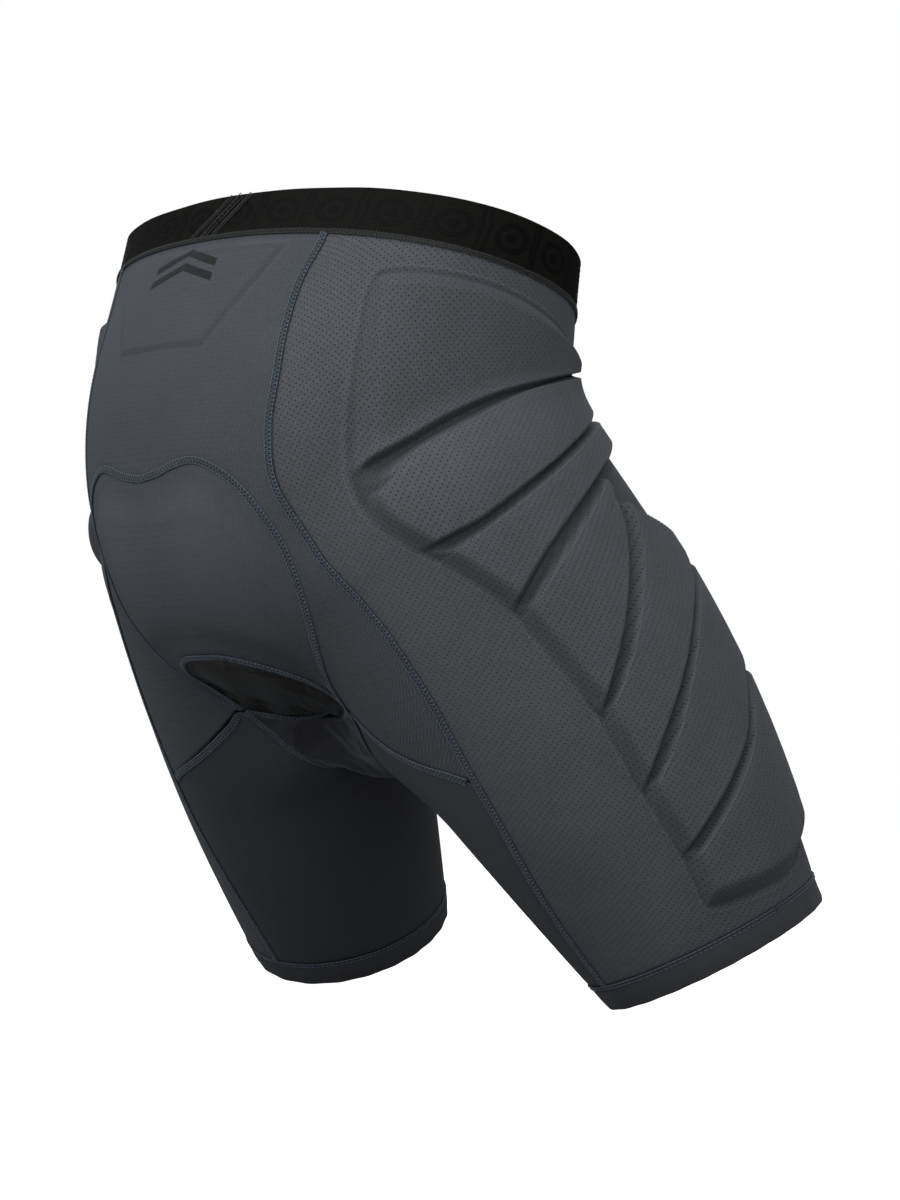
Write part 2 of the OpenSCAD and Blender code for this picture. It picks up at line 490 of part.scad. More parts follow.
waistband();
waistband_bartack();
waist_seam();
back_panel();
seat_panel();
crotch_gusset();
front_pouch();
side_panel(false);  // side_panel_right
side_lining(false);  // side_lining_right
front_panel(false);  // front_panel_right
leg_panel(false);  // leg_panel_right
hem_cuff(false);  // hem_cuff_right
hip_pad_upper(false);  // hip_pad_upper_right
hip_pad_middle(false);  // hip_pad_middle_right
hip_pad_lower(false);  // hip_pad_lower_right
thigh_pad_1(false);  // thigh_pad_1_right
thigh_pad_2(false);  // thigh_pad_2_right
thigh_pad_3(false);  // thigh_pad_3_right
thigh_pad_4(false);  // thigh_pad_4_right
back_seam(false);  // back_seam_right
front_seam_thread(false);  // front_seam_right
pouch_seam(false);  // pouch_seam_right
thigh_seam(false);  // thigh_seam_right
front_thigh_seam(false);  // front_thigh_seam_right
hem_stitch(false);  // hem_stitch_right
side_panel(true);  // side_panel_left
side_lining(true);  // side_lining_left
front_panel(true);  // front_panel_left
leg_panel(true);  // leg_panel_left
hem_cuff(true);  // hem_cuff_left
hip_pad_upper(true);  // hip_pad_upper_left
hip_pad_middle(true);  // hip_pad_middle_left
hip_pad_lower(true);  // hip_pad_lower_left
thigh_pad_1(true);  // thigh_pad_1_left
thigh_pad_2(true);  // thigh_pad_2_left
thigh_pad_3(true);  // thigh_pad_3_left
thigh_pad_4(true);  // thigh_pad_4_left
back_seam(true);  // back_seam_left
front_seam_thread(true);  // front_seam_left
pouch_seam(true);  // pouch_seam_left
thigh_seam(true);  // thigh_seam_left
front_thigh_seam(true);  // front_thigh_seam_left
hem_stitch(true);  // hem_stitch_left
tailbone_pad();
tailbone_pocket();
seat_pad();
seat_pad_cover();
seat_seam();
gusset_seam();
cross_seam();
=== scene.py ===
# Looks of the padded impact shorts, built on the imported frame. All shapes are worked out in millimetres
# from the same worn shape as the frame's parts and turned into metres when a mesh is made.
from math import cos, pi as PI, radians as rad, sin
import bpy
import numpy as np
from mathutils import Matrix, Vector


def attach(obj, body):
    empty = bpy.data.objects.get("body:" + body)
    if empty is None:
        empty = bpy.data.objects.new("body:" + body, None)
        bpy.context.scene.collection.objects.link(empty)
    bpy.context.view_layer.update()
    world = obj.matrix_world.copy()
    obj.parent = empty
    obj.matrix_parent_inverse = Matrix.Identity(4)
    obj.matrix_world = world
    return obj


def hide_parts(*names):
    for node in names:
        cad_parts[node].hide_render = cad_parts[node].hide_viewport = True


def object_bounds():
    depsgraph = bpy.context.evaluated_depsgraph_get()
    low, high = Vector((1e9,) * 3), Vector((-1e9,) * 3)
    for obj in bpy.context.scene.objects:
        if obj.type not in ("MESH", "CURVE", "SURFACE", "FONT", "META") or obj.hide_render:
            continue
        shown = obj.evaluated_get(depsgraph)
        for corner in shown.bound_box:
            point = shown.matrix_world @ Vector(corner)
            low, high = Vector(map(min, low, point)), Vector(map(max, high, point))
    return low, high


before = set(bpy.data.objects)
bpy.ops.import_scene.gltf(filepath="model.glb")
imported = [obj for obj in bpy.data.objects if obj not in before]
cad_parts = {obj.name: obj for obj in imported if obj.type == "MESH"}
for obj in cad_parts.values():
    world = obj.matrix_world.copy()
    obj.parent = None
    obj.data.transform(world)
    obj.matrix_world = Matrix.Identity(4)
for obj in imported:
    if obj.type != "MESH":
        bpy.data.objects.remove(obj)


def as_list(b):
    return [[float(v) for v in corner] for corner in b]


CAD_BOX = as_list(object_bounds())
MM = 0.001
PLAIN_TONE = 0.5
SIDES = (("right", False), ("left", True))

# ---------------------------------------------------------------- the worn shape (millimetres)
WAIST_W, WAIST_D, HIP_W, HIP_D, LEAN, BAND = 328, 194, 278, 267, 13.7, 26
LEG, FLEX, SPREAD, HEM_RX, HEM_RY, HEM_SHARE = 284, 30.6, 16, 59.5, 67.5, 0.028
CLOTH, PAD_RISE, GAP = 1.2, 9.0, 0.9
HIP_DROP, HIP_FORWARD, SQUARE, TRUNK_END, TRUNK_ROUND, BLEND = 186, 11.5, 2.2, 71, 192, 11
HIP_PT = np.array([84.5, 2, -162.0])
THIGH_RX, THIGH_RY, THIGH_TOP_R, THIGH_BOW, THIGH_SHIFT = 84, 101, 90, (2.7, 8), (6.7, 1.9)
THIGH_TURN = rad(-18.6)
BUTTOCK_PT, BUTTOCK_R = np.array([77, -11, -203.5]), np.array([81.5, 55, 106.0])
CHART_TOP, CHART_MID = np.array([-70, 0, 0.0]), np.array([-80, 5, -165.0])
T = rad(LEAN)
F, S = rad(FLEX), rad(SPREAD)
HF, HS = rad(FLEX - 6.3), rad(SPREAD - 2.6)
THIGH_DIR = np.array([sin(S), -sin(F) * cos(S), -cos(F) * cos(S)])
THIGH_OUT = np.array([cos(S), sin(F) * sin(S), cos(F) * sin(S)])
THIGH_BACK = np.cross(THIGH_DIR, THIGH_OUT)
WAIST_DOWN = np.array([0, sin(T), -cos(T)])
WAIST_BACK = np.array([0, cos(T), sin(T)])
HEM_DOWN = np.array([-sin(HS), -sin(HF) * cos(HS), -cos(HF) * cos(HS)])
FLIP = np.array([-1.0, 1, 1])
HEM_PT = FLIP * HIP_PT + FLIP * THIGH_DIR * LEG
HEM_K = 1 - HEM_SHARE
EDGE_S = BAND + GAP


def soft_min(a, b, k):
    h = np.clip(0.5 + 0.5 * (b - a) / k, 0, 1)
    return b + (a - b) * h - k * h * (1 - h)


def smooth(t):
    c = np.clip(t, 0, 1)
    return c * c * (3 - 2 * c)


def shape(p):
    """Signed distance, near enough, to the worn surface; negative inside."""
    x, y, z = np.abs(p[..., 0]), p[..., 1], p[..., 2]
    s = y * sin(T) - z * cos(T)
    w = np.sin(PI / 2 * np.clip(s / HIP_DROP, -0.3, 1))
    a, b = (WAIST_W + (HIP_W - WAIST_W) * w) / 2, (WAIST_D + (HIP_D - WAIST_D) * w) / 2
    back = y * cos(T) + z * sin(T) + HIP_FORWARD * w
    close = np.maximum(0, s - TRUNK_END) / TRUNK_ROUND
    q = SQUARE
    ring = ((x / a) ** q + (np.abs(back) / b) ** q + close ** q + 1e-9) ** (1 / q)
    trunk = (ring - 1) * np.minimum(a, b)
    v = np.stack([x, y, z], -1)
    m = v - HIP_PT
    t = m @ THIGH_DIR
    bow = np.sin(PI * np.clip(t / LEG, 0, 1))
    u0, g0 = m @ THIGH_OUT - THIGH_SHIFT[0] * bow, m @ THIGH_BACK - THIGH_SHIFT[1] * bow
    ct, st = cos(THIGH_TURN), sin(THIGH_TURN)
    u, g = ct * u0 + st * g0, ct * g0 - st * u0
    f = np.clip(t / LEG, -0.2, 1.05)
    rx = THIGH_RX + (HEM_RX - THIGH_RX) * f + THIGH_BOW[0] * bow
    ry = THIGH_RY + (HEM_RY - THIGH_RY) * f + THIGH_BOW[1] * bow
    around = np.sqrt((u / rx) ** 2 + (g / ry) ** 2 + (np.minimum(0, t) / THIGH_TOP_R) ** 2 + 1e-12)
    thigh = (around - 1) * np.minimum(rx, ry)
    buttock = (np.linalg.norm((v - BUTTOCK_PT) / BUTTOCK_R, axis=-1) - 1) * BUTTOCK_R.min()
    return soft_min(soft_min(trunk, buttock, BLEND), thigh, BLEND)


def slope(p):
    """Gradient of the shape."""
    step = 0.5
    return np.stack([shape(p + d) - shape(p - d) for d in np.eye(3) * step], -1) / (2 * step)


def unit(v):
    return v / np.maximum(np.linalg.norm(v, axis=-1, keepdims=True), 1e-12)


def settle(p, n=4):
    """Points moved onto the worn surface, with their outward normals."""
    p = np.asarray(p, float)
    for _ in range(n):
        g = slope(p)
        p = p - g * (shape(p) / (g * g).sum(-1))[..., None]
    return p, unit(slope(p))


def chart(a, k):
    """Point and outward normal at angle a (degrees) and share k down the right leg."""
    a, k = np.broadcast_arrays(np.radians(np.asarray(a, float)), np.asarray(k, float))
    kk = k[..., None]
    c = (1 - kk) ** 2 * CHART_TOP + 2 * kk * (1 - kk) * CHART_MID + kk ** 2 * HEM_PT
    n = unit((1 - kk) * WAIST_DOWN + kk * HEM_DOWN)
    side = unit(np.array([-1.0, 0, 0]) + n[..., :1] * n)
    rear = np.cross(n, side)
    d = np.cos(a)[..., None] * side + np.sin(a)[..., None] * rear
    r = np.full(a.shape, 20.0)
    for _ in range(34):
        r = r - 0.95 * np.minimum(shape(c + d * r[..., None]), 0)
    p = c + d * r[..., None]
    return p, unit(slope(p))


def curve_at(ps, t):
    """Points at shares t along a smooth curve through ps."""
    ps = np.asarray(ps, float)
    n = len(ps) - 1
    x = np.clip(np.asarray(t, float), 0, 1) * n
    i = np.minimum(x.astype(int), n - 1)
    f = (x - i)[..., None]
    a, b, c, d = ps[np.maximum(i - 1, 0)], ps[i], ps[i + 1], ps[np.minimum(i + 2, n)]
    square, cube = 2 * a - 5 * b + 4 * c - d, 3 * b - a - 3 * c + d
    return 0.5 * (2 * b + (c - a) * f + square * f * f + cube * f ** 3)


def value_at(table, key):
    """Smooth value of a table of [key, value] rows."""
    tab = np.asarray(table, float)
    i = np.clip(np.searchsorted(tab[:, 0], key, side="right") - 1, 0, len(tab) - 2)
    f = np.clip((key - tab[i, 0]) / (tab[i + 1, 0] - tab[i, 0]), 0, 1)
    return curve_at(tab[:, 1:], (i + f) / (len(tab) - 1))[..., 0]


def trunk_pt(s, turn):
    """Point at distance s below the waist's edge; turn 0 is the wearer's right, 90 the back."""
    s, turn = np.broadcast_arrays(np.asarray(s, float), np.radians(np.asarray(turn, float)))
    w = np.sin(PI / 2 * s / HIP_DROP)
    e = 2 / SQUARE
    c, r = np.cos(turn), np.sin(turn)
    x = -(WAIST_W + (HIP_W - WAIST_W) * w) / 2 * np.sign(c) * np.abs(c) ** e
    b = (WAIST_D + (HIP_D - WAIST_D) * w) / 2 * np.sign(r) * np.abs(r) ** e - HIP_FORWARD * w
    return np.stack([x, 0 * x, 0 * x], -1) + s[..., None] * WAIST_DOWN + b[..., None] * WAIST_BACK


def waist_k(a):
    """Share k at which the line at angle a meets the waistband's lower edge."""
    a = np.asarray(a, float)
    lo, hi = np.zeros(a.shape), np.full(a.shape, 0.3)
    for _ in range(12):
        m = (lo + hi) / 2
        below = chart(a, m)[0] @ WAIST_DOWN < EDGE_S
        lo, hi = np.where(below, m, lo), np.where(below, hi, m)
    return (lo + hi) / 2


# ---------------------------------------------------------------- seam lines of the right side
# as [k, angle]
REAR_SEAM = [[0.07, 76.5], [0.14, 82.5], [0.2, 85.2], [0.27, 87.3], [0.33, 90], [0.4, 91.5], [0.48, 88.5],
             [0.52, 85], [0.57, 82], [0.65, 80.5], [0.74, 82.5], [0.79, 84.5], [0.85, 89], [0.91, 94],
             [1, 100]]
FRONT_SEAM = [[0.07, -66], [0.3, -72], [0.6, -74], [0.8, -72], [1, -68]]
# as points, from the middle of the body to where five seams meet
JUNCTION = [-47, 37, -262]
SEAT_LINE = [[0, 144, -136], [-15, 144, -134], [-28, 142, -130], [-42, 139, -128], [-56, 135, -133],
             [-68, 128, -143], [-77, 121, -157], [-83, 112, -173], [-84, 104, -188], [-82, 94, -208],
             [-74, 81, -228], [-63, 65, -244], JUNCTION]
GUSSET_LINE = [[0, 102, -233], [-16, 100, -233], [-30, 93, -236], [-41, 81, -241], [-47, 66, -247],
               [-49, 51, -254], JUNCTION]
CROSS_LINE = [[0, 10, -266], [-13, 12, -266], [-26, 20, -265], [-37, 29, -264], JUNCTION]
# as [angle, k]
POUCH_PATH = [[125.3, 0.632], [131.5, 0.655], [138, 0.68], [147.4, 0.704], [158, 0.714], [178, 0.721],
              [213, 0.684], [242, 0.614], [257, 0.52], [256, 0.372], [259, 0.204], [263, float(waist_k(263))]]
LEG_TOP = [[83, 0.7385], [90, 0.7242], [98, 0.7091], [106, 0.6922], [113, 0.6735], [119.5, 0.6534],
           [125.3, 0.6334], [131.5, 0.657], [138, 0.682], [147.4, 0.706], [158, 0.716], [178, 0.723]]
FORK, FORK_PT, LOW_K, FRONT_LOW_K = 5 / 11, (178, 0.721), 0.737, 0.70
FRONT_LOW_PT = (360 + float(value_at(FRONT_SEAM, FRONT_LOW_K)), FRONT_LOW_K)
SLIT = GAP / 95 * 180 / PI
TOP_HEM_K = HEM_K - 0.0015
REAR_TOP_K, REAR_CORNER = 0.0705, 57.3
FRONT_TOP_K = float(waist_k(value_at(FRONT_SEAM, 0.1)))

# Foam segments, each between two edges given as [angle, k]
PADS = {
    "hip_pad_upper": ([[61, 0.138], [50, 0.124], [30, 0.121], [10, 0.127], [-15, 0.146], [-44, 0.178]],
                      [[77.5, 0.392], [59, 0.357], [44, 0.325], [23, 0.291], [-5, 0.257], [-44, 0.208]]),
    "hip_pad_middle": ([[76, 0.437], [59, 0.379], [42, 0.345], [10, 0.287], [-15, 0.255], [-44, 0.219]],
                       [[65, 0.489], [53, 0.473], [42, 0.457], [13, 0.397], [-10, 0.35], [-44, 0.288]]),
    "hip_pad_lower": ([[60.5, 0.505], [42, 0.469], [13, 0.41], [-10, 0.363], [-44, 0.302]],
                      [[45, 0.572], [25, 0.505], [-1, 0.434], [-22, 0.384], [-44, 0.338]]),
    "thigh_pad_1": ([[44, 0.587], [41.5, 0.61], [37, 0.66], [33, 0.7]],
                    [[-13, 0.418], [-11, 0.49], [8, 0.61], [31, 0.706]]),
    "thigh_pad_2": ([[-19, 0.457], [-16, 0.5], [-6, 0.565], [11, 0.648], [33, 0.722]],
                    [[-50, 0.505], [-38, 0.563], [-26, 0.609], [-2, 0.702], [31, 0.802]]),
    "thigh_pad_3": ([[-50, 0.533], [-38, 0.577], [-25, 0.624], [-7, 0.697], [10, 0.758], [31.5, 0.812]],
                    [[-51, 0.68], [-36, 0.727], [-23, 0.781], [-10, 0.813], [5, 0.842], [29, 0.878]]),
    "thigh_pad_4": ([[-52, 0.705], [-36, 0.743], [-22, 0.797], [0, 0.846], [29, 0.89]],
                    [[-52, 0.9], [-38, 0.925], [-17, 0.947], [8, 0.94], [32, 0.934]]),
}
POCKET_REAR = [[62, 0.118], [75, 0.25], [82, 0.4], [74, 0.5], [50, 0.59], [39, 0.7], [36, 0.82], [36, 0.945]]
POCKET_FRONT = [[-48, 0.165], [-50, 0.27], [-50, 0.36], [-53, 0.46], [-54, 0.58], [-55, 0.7], [-56, 0.82],
                [-56, 0.915]]
LENGTH_MM = 460
FLAT_MM = np.array([1.66, LENGTH_MM])


def flat(q):
    """[angle, k] laid flat, in millimetres."""
    return np.asarray(q, float) * FLAT_MM


def pad_outline(pad):
    """The outline of a segment laid flat, as a dense smooth loop."""
    t = np.linspace(0, 1, 14)
    return flat(np.concatenate([curve_at(pad[0], t), curve_at(pad[1], t[::-1])]))


def inside(p, loop):
    """Distance into a closed outline, negative outside it."""
    a, b = loop, np.roll(loop, -1, 0)
    best = np.full(p.shape[:-1], 1e9)
    hits = np.zeros(p.shape[:-1], bool)
    for u, v in zip(a, b):
        d = v - u
        if d @ d < 1e-9:
            continue
        t = np.clip(((p - u) @ d) / (d @ d), 0, 1)
        best = np.minimum(best, np.linalg.norm(p - u - t[..., None] * d, axis=-1))
        if u[1] != v[1]:
            cross_x = d[0] * (p[..., 1] - u[1]) / d[1] + u[0]
            hits ^= ((u[1] > p[..., 1]) != (v[1] > p[..., 1])) & (p[..., 0] < cross_x)
    return np.where(hits, best, -best)


OUTLINES = {name: pad_outline(pad) for name, pad in PADS.items()}


# ---------------------------------------------------------------- mesh building
def place(name, data):
    """A new object in the scene."""
    ob = bpy.data.objects.new(name, data)
    bpy.context.scene.collection.objects.link(ob)
    return ob


def new_object(name, verts, faces, uv=None, mats=(), tone=None):
    """verts in millimetres. uv is per vertex, in millimetres of cloth. tone is painted light and shade on the
    cloth, PLAIN_TONE where none is painted.
    """
    mesh = bpy.data.meshes.new(name)
    mesh.from_pydata((np.asarray(verts) * MM).tolist(), [], np.asarray(faces).tolist())
    for m in mats:
        mesh.materials.append(m)
    if uv is not None:
        layer = mesh.uv_layers.new(name="cloth_mm")
        loops = np.empty(len(mesh.loops), int)
        mesh.loops.foreach_get("vertex_index", loops)
        layer.data.foreach_set("uv", (np.asarray(uv)[loops] * 0.01).ravel())
    shade = mesh.color_attributes.new("tone", "FLOAT_COLOR", "POINT")
    tone = np.full(len(mesh.vertices), PLAIN_TONE) if tone is None else np.asarray(tone, float)
    shade.data.foreach_set("color", np.stack([tone, tone, tone, np.ones_like(tone)], -1).ravel())
    mesh.shade_smooth()
    mesh.update()
    return place(name, mesh)


def grid_faces(rows, cols, wrap=False):
    r, c = np.meshgrid(np.arange(rows - 1), np.arange(cols if wrap else cols - 1), indexing="ij")
    d = (c + 1) % cols
    a, b = r * cols + c, r * cols + d
    return np.stack([a, b, b + cols, a + cols], -1).reshape(-1, 4)


def loop_faces(rows, cols):
    """Faces of a grid closed both ways: round each row, and from the last row back to the first."""
    first, last = np.arange(cols), (rows - 1) * cols + np.arange(cols)
    close = np.stack([last, np.roll(last, -1), np.roll(first, -1), first], -1)
    return np.concatenate([grid_faces(rows, cols, True), close])


def shell(top, bottom):
    """Closed skin between two grids of points: (verts, faces)."""
    rows, cols = top.shape[:2]
    n = rows * cols
    f = grid_faces(rows, cols)
    idx = np.arange(n).reshape(rows, cols)

    def rim(line):
        nxt, cur = line[1:], line[:-1]
        return np.stack([nxt, cur, cur + n, nxt + n], -1)

    sides = [rim(idx[0]), rim(idx[-1])[:, ::-1], rim(idx[:, 0])[:, [1, 0, 3, 2]], rim(idx[:, -1])]
    verts = np.concatenate([top.reshape(-1, 3), bottom.reshape(-1, 3)])
    return verts, np.concatenate([f, f[:, ::-1] + n] + sides)


def grid_normals(p, like):
    """Unit normals of a grid of points, pointing the way of like."""
    n = unit(np.cross(np.gradient(p, axis=1), np.gradient(p, axis=0)))
    return np.where(((n * like).sum(-1) < 0)[..., None], -n, n)


def outward(verts, faces, like_point, like_normal):
    """Turns all faces over if the face nearest to like_point looks against like_normal."""
    tri = verts[faces]
    mid = tri.mean(1)
    i = int(np.argmin(((mid - like_point) ** 2).sum(-1)))
    n = np.cross(tri[i, 1] - tri[i, 0], tri[i, 2] - tri[i, 0])
    return faces if n @ like_normal > 0 else faces[:, ::-1]


def lengths(p):
    """Distance along a line of points, or down each column of a grid, at each of its points."""
    d = np.linalg.norm(np.diff(p, axis=0), axis=-1)
    return np.concatenate([np.zeros_like(d[:1]), np.cumsum(d, 0)])


def arc_uv(p):
    """Cloth coordinates of a grid, in millimetres along its rows and columns from the middle ones."""
    u, v = lengths(p.swapaxes(0, 1)).T, lengths(p)
    return np.stack([u - u[:, u.shape[1] // 2][:, None], v - v[v.shape[0] // 2][None]], -1)


def edge_distance(p, sides):
    """Distance of each point of a grid from its edges. sides is a string of t, b, l, r."""
    uv = arc_uv(p)
    u, v = uv[..., 0], uv[..., 1]
    ways = {"l": u - u[:, :1], "r": u[:, -1:] - u, "t": v - v[:1], "b": v[-1:] - v}
    return np.min([ways[side] for side in sides], axis=0)


def finish_piece(ob, node):
    """Says which body the piece rides on, and hides the part of the frame it replaces."""
    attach(ob, "root")
    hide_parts(node)


def shell_piece(name, node, top, bottom, n, mat, uv=None, tone=None):
    """A closed piece between two grids of points, with outward normals n."""
    verts, faces = shell(top, bottom)
    r, c = top.shape[0] // 2, top.shape[1] // 2
    ob = new_object(name, verts, outward(verts, faces, top[r, c], n[r, c]), uv, [mat], tone)
    finish_piece(ob, node)
    return ob


def cloth_piece(name, node, grid, normals, mat, slot_name, lo=-CLOTH, hi=0.0, mirror=False, uv=None, rests=(),
                tone=None, inner_shift=0.0):
    """A closed panel of cloth from a grid of points and normals."""
    g, n = (grid * FLIP, normals * FLIP) if mirror else (grid, normals)
    uv = arc_uv(grid) if uv is None else uv
    if mirror:
        uv = uv * np.array([-1, 1])
    uvs = np.concatenate([uv.reshape(-1, 2)] * 2)
    uvs[g.size // 3:, 1] += inner_shift
    tones = None if tone is None else np.concatenate([tone.ravel(), np.full(tone.size, PLAIN_TONE)])
    ob = shell_piece(name, node, g + n * hi, g + n * lo, n, mat, uvs, tones)


def cloth_pair(node, cloth, *args, rests=(), **more):
    """The same panel on both sides of the body."""
    for side, mirror in SIDES:
        cloth_piece(f"{node}_{side}_{cloth}", f"{node}_{side}", *args, mirror=mirror,
                    rests=[f"{pad}_{side}" for pad in rests], **more)


# ---------------------------------------------------------------- cloth simulation
def cloth_moves(grid, like, hold, cap, pressure=0.0, slack=0.0, frames=20):
    """Runs Blender's cloth on an open net of points, held where hold is true, without gravity. Pressure
    swells it, slack makes the cloth larger than its place so that it folds. Returns how each point moved,
    no further than cap."""
    rows, cols = grid.shape[:2]
    verts = grid.reshape(-1, 3)
    r, c = rows // 2, cols // 2
    net = new_object("cloth_net", verts, outward(verts, grid_faces(rows, cols), grid[r, c], like[r, c]))
    group = net.vertex_groups.new(name="hold")
    group.add(np.flatnonzero(hold.ravel()).tolist(), 1.0, "REPLACE")
    cloth = net.modifiers.new("cloth", "CLOTH")
    setting = cloth.settings
    setting.vertex_group_mass = "hold"
    setting.quality = 6
    setting.mass = 0.002
    setting.tension_stiffness = setting.compression_stiffness = 15.0
    setting.shear_stiffness = 5.0
    setting.bending_stiffness = 0.02
    setting.air_damping = 2.0
    setting.use_pressure = pressure > 0
    setting.uniform_pressure_force = pressure
    setting.shrink_min = setting.shrink_max = -slack
    setting.effector_weights.gravity = 0
    cloth.collision_settings.use_collision = False
    cloth.point_cache.frame_start, cloth.point_cache.frame_end = 1, frames
    scene = bpy.context.scene
    for f in range(1, frames + 1):
        scene.frame_set(f)
    settled = np.empty(verts.size)
    net.evaluated_get(bpy.context.evaluated_depsgraph_get()).data.vertices.foreach_get("co", settled)
    scene.frame_set(1)
    mesh = net.data
    bpy.data.objects.remove(net)
    bpy.data.meshes.remove(mesh)
    move = settled.reshape(grid.shape) / MM - grid
    size = np.linalg.norm(move, axis=-1, keepdims=True)
    return move * cap * np.tanh(size / cap) / np.maximum(size, 1e-9)


def spread(moves, rows, cols):
    """Moves of a coarse net carried over to a finer grid."""
    for axis, n in ((0, rows), (1, cols)):
        at = np.linspace(0, moves.shape[axis] - 1, n)
        i = np.minimum(at.astype(int), moves.shape[axis] - 2)
        f = (at - i).reshape((-1, 1, 1) if axis == 0 else (1, -1, 1))
        moves = np.take(moves, i, axis) * (1 - f) + np.take(moves, i + 1, axis) * f
    return moves


# ---------------------------------------------------------------- materials
class Graph:
    """Small helper for building a node tree. Values may be numbers, colours or sockets."""

    def __init__(self, name):
        self.mat = bpy.data.materials.new(name)
        self.mat.use_nodes = True
        self.tree = self.mat.node_tree
        self.bsdf = self.tree.nodes["Principled BSDF"]
        self.out = self.tree.nodes["Material Output"]

    def add(self, kind, inputs, **props):
        """A new node; inputs holds a value for each input it names."""
        node = self.tree.nodes.new(kind)
        for k, v in props.items():
            setattr(node, k, v)
        self.fill(node, inputs)
        return node

    def fill(self, node, inputs):
        for name, value in inputs.items():
            sock = node.inputs[name]
            if isinstance(value, bpy.types.NodeSocket):
                self.tree.links.new(value, sock)
            else:
                sock.default_value = (*value, 1) if isinstance(value, (tuple, list)) else value

    def math(self, op, *args):
        return self.add("ShaderNodeMath", dict(enumerate(args)), operation=op).outputs[0]

    def mul(self, a, b):
        return self.math("MULTIPLY", a, b)

    def plus(self, a, b):
        return self.math("ADD", a, b)

    def minus(self, a, b):
        return self.math("SUBTRACT", a, b)

    def mul_add(self, a, b, c):
        return self.math("MULTIPLY_ADD", a, b, c)

    def away(self, a, b=0.0):
        """Distance between two numbers."""
        return self.math("ABSOLUTE", self.minus(a, b))

    def length(self, x, y):
        return self.math("SQRT", self.plus(self.math("POWER", x, 2.0), self.math("POWER", y, 2.0)))

    def saw(self, value, pitch, shift=0.0):
        """Millimetres from the middle of each repeat."""
        return self.mul(self.minus(self.math("FRACT", self.mul_add(value, 1 / pitch, shift)), 0.5), pitch)

    def wave(self, value, pitch):
        """0..1 sine of a millimetre coordinate."""
        return self.mul_add(self.math("SINE", self.mul(value, 2 * PI / pitch)), 0.5, 0.5)

    def ramp(self, value, lo, hi, a=1.0, b=0.0):
        inputs = {"Value": value, "From Min": lo, "From Max": hi, "To Min": a, "To Max": b}
        return self.add("ShaderNodeMapRange", inputs, interpolation_type="SMOOTHSTEP").outputs[0]

    def uv_mm(self):
        """Cloth coordinates: x and y in millimetres, and the two together in tenths of a metre."""
        uv = self.add("ShaderNodeUVMap", {}, uv_map="cloth_mm").outputs[0]
        s = self.add("ShaderNodeSeparateXYZ", {0: uv})
        return self.mul(s.outputs[0], 100.0), self.mul(s.outputs[1], 100.0), uv

    def noise(self, vector, scale, detail=3.0):
        inputs = {"Vector": vector, "Scale": scale, "Detail": detail, "Roughness": 0.55}
        return self.add("ShaderNodeTexNoise", inputs).outputs["Fac"]

    def object_coords(self):
        return self.add("ShaderNodeTexCoord", {}).outputs["Object"]

    def colour_mix(self, fac, a, b):
        mix = self.add("ShaderNodeMix", {}, data_type="RGBA")
        self.fill(mix, {"Factor": fac, "A": a, "B": b})
        return mix.outputs["Result"]

    def bump(self, height, distance, strength):
        inputs = {"Strength": strength, "Distance": distance, "Height": height}
        self.fill(self.bsdf, {"Normal": self.add("ShaderNodeBump", inputs).outputs[0]})

    def with_painted_light(self, colour):
        """The colour scaled by the tone attribute, which is painted light: painted shade in grooves and
        creases, painted highlight along edges and on folds.
        """
        tone = self.add("ShaderNodeAttribute", {}, attribute_name="tone").outputs["Fac"]
        gain = self.mul_add(tone, 1.3, 0.35)
        return self.add("ShaderNodeVectorMath", {0: colour, "Scale": gain}, operation="SCALE").outputs[0]

    def finish(self, colour, rough, sheen, spec, tint=(0.8, 0.9, 1.0)):
        self.fill(self.bsdf, {"Base Color": colour, "Roughness": rough, "Specular IOR Level": spec,
                              "Sheen Weight": sheen, "Sheen Roughness": 0.45, "Sheen Tint": tint})
        return self.mat

    def knit(self, shade, grain, rough, sheen, spec):
        """Finishes a knit. grain is the scale and the swing of its roughness."""
        swing = self.mul_add(self.noise(self.uv_mm()[2], grain[0]), grain[1], rough)
        return self.finish(self.with_painted_light(shade), swing, sheen, spec)


def times(colour, share):
    return [v * share for v in colour]


def cloudy(g, colour, amount, scale=22.0):
    """The colour with slow, slight changes of tone over the surface, and a finer mottle."""
    c = g.object_coords()
    f = g.mul_add(g.noise(c, scale), 0.45, g.mul(g.noise(c, 620.0, 1.0), 0.55))
    return g.colour_mix(f, times(colour, 1 - amount), times(colour, 1 + amount))


def mesh_knit(name, colour, hole):
    """Perforated stretch mesh: small round holes on a staggered lattice over a fine diagonal knit."""
    pitch, row, radius = 3.8, 1.9, 0.36
    g = Graph(name)
    x, y, _ = g.uv_mm()
    near = [g.length(g.saw(x, pitch, shift), g.saw(y, 2 * row, shift)) for shift in (0.0, 0.5)]
    holes = g.ramp(g.math("MINIMUM", *near), radius * 0.55, radius * 1.45)
    diag = g.wave(g.plus(x, g.mul(y, 0.62)), 1.25)
    rib = g.wave(g.minus(x, g.mul(y, 0.35)), 0.8)
    tone = g.colour_mix(g.mul(diag, 0.5), cloudy(g, colour, 0.55), times(colour, 0.62))
    g.bump(g.minus(g.mul_add(diag, 0.22, g.mul(rib, 0.10)), holes), 0.00045, 0.8)
    return g.knit(g.colour_mix(holes, tone, hole), (40.0, 0.16), 0.66, 0.10, 0.32)


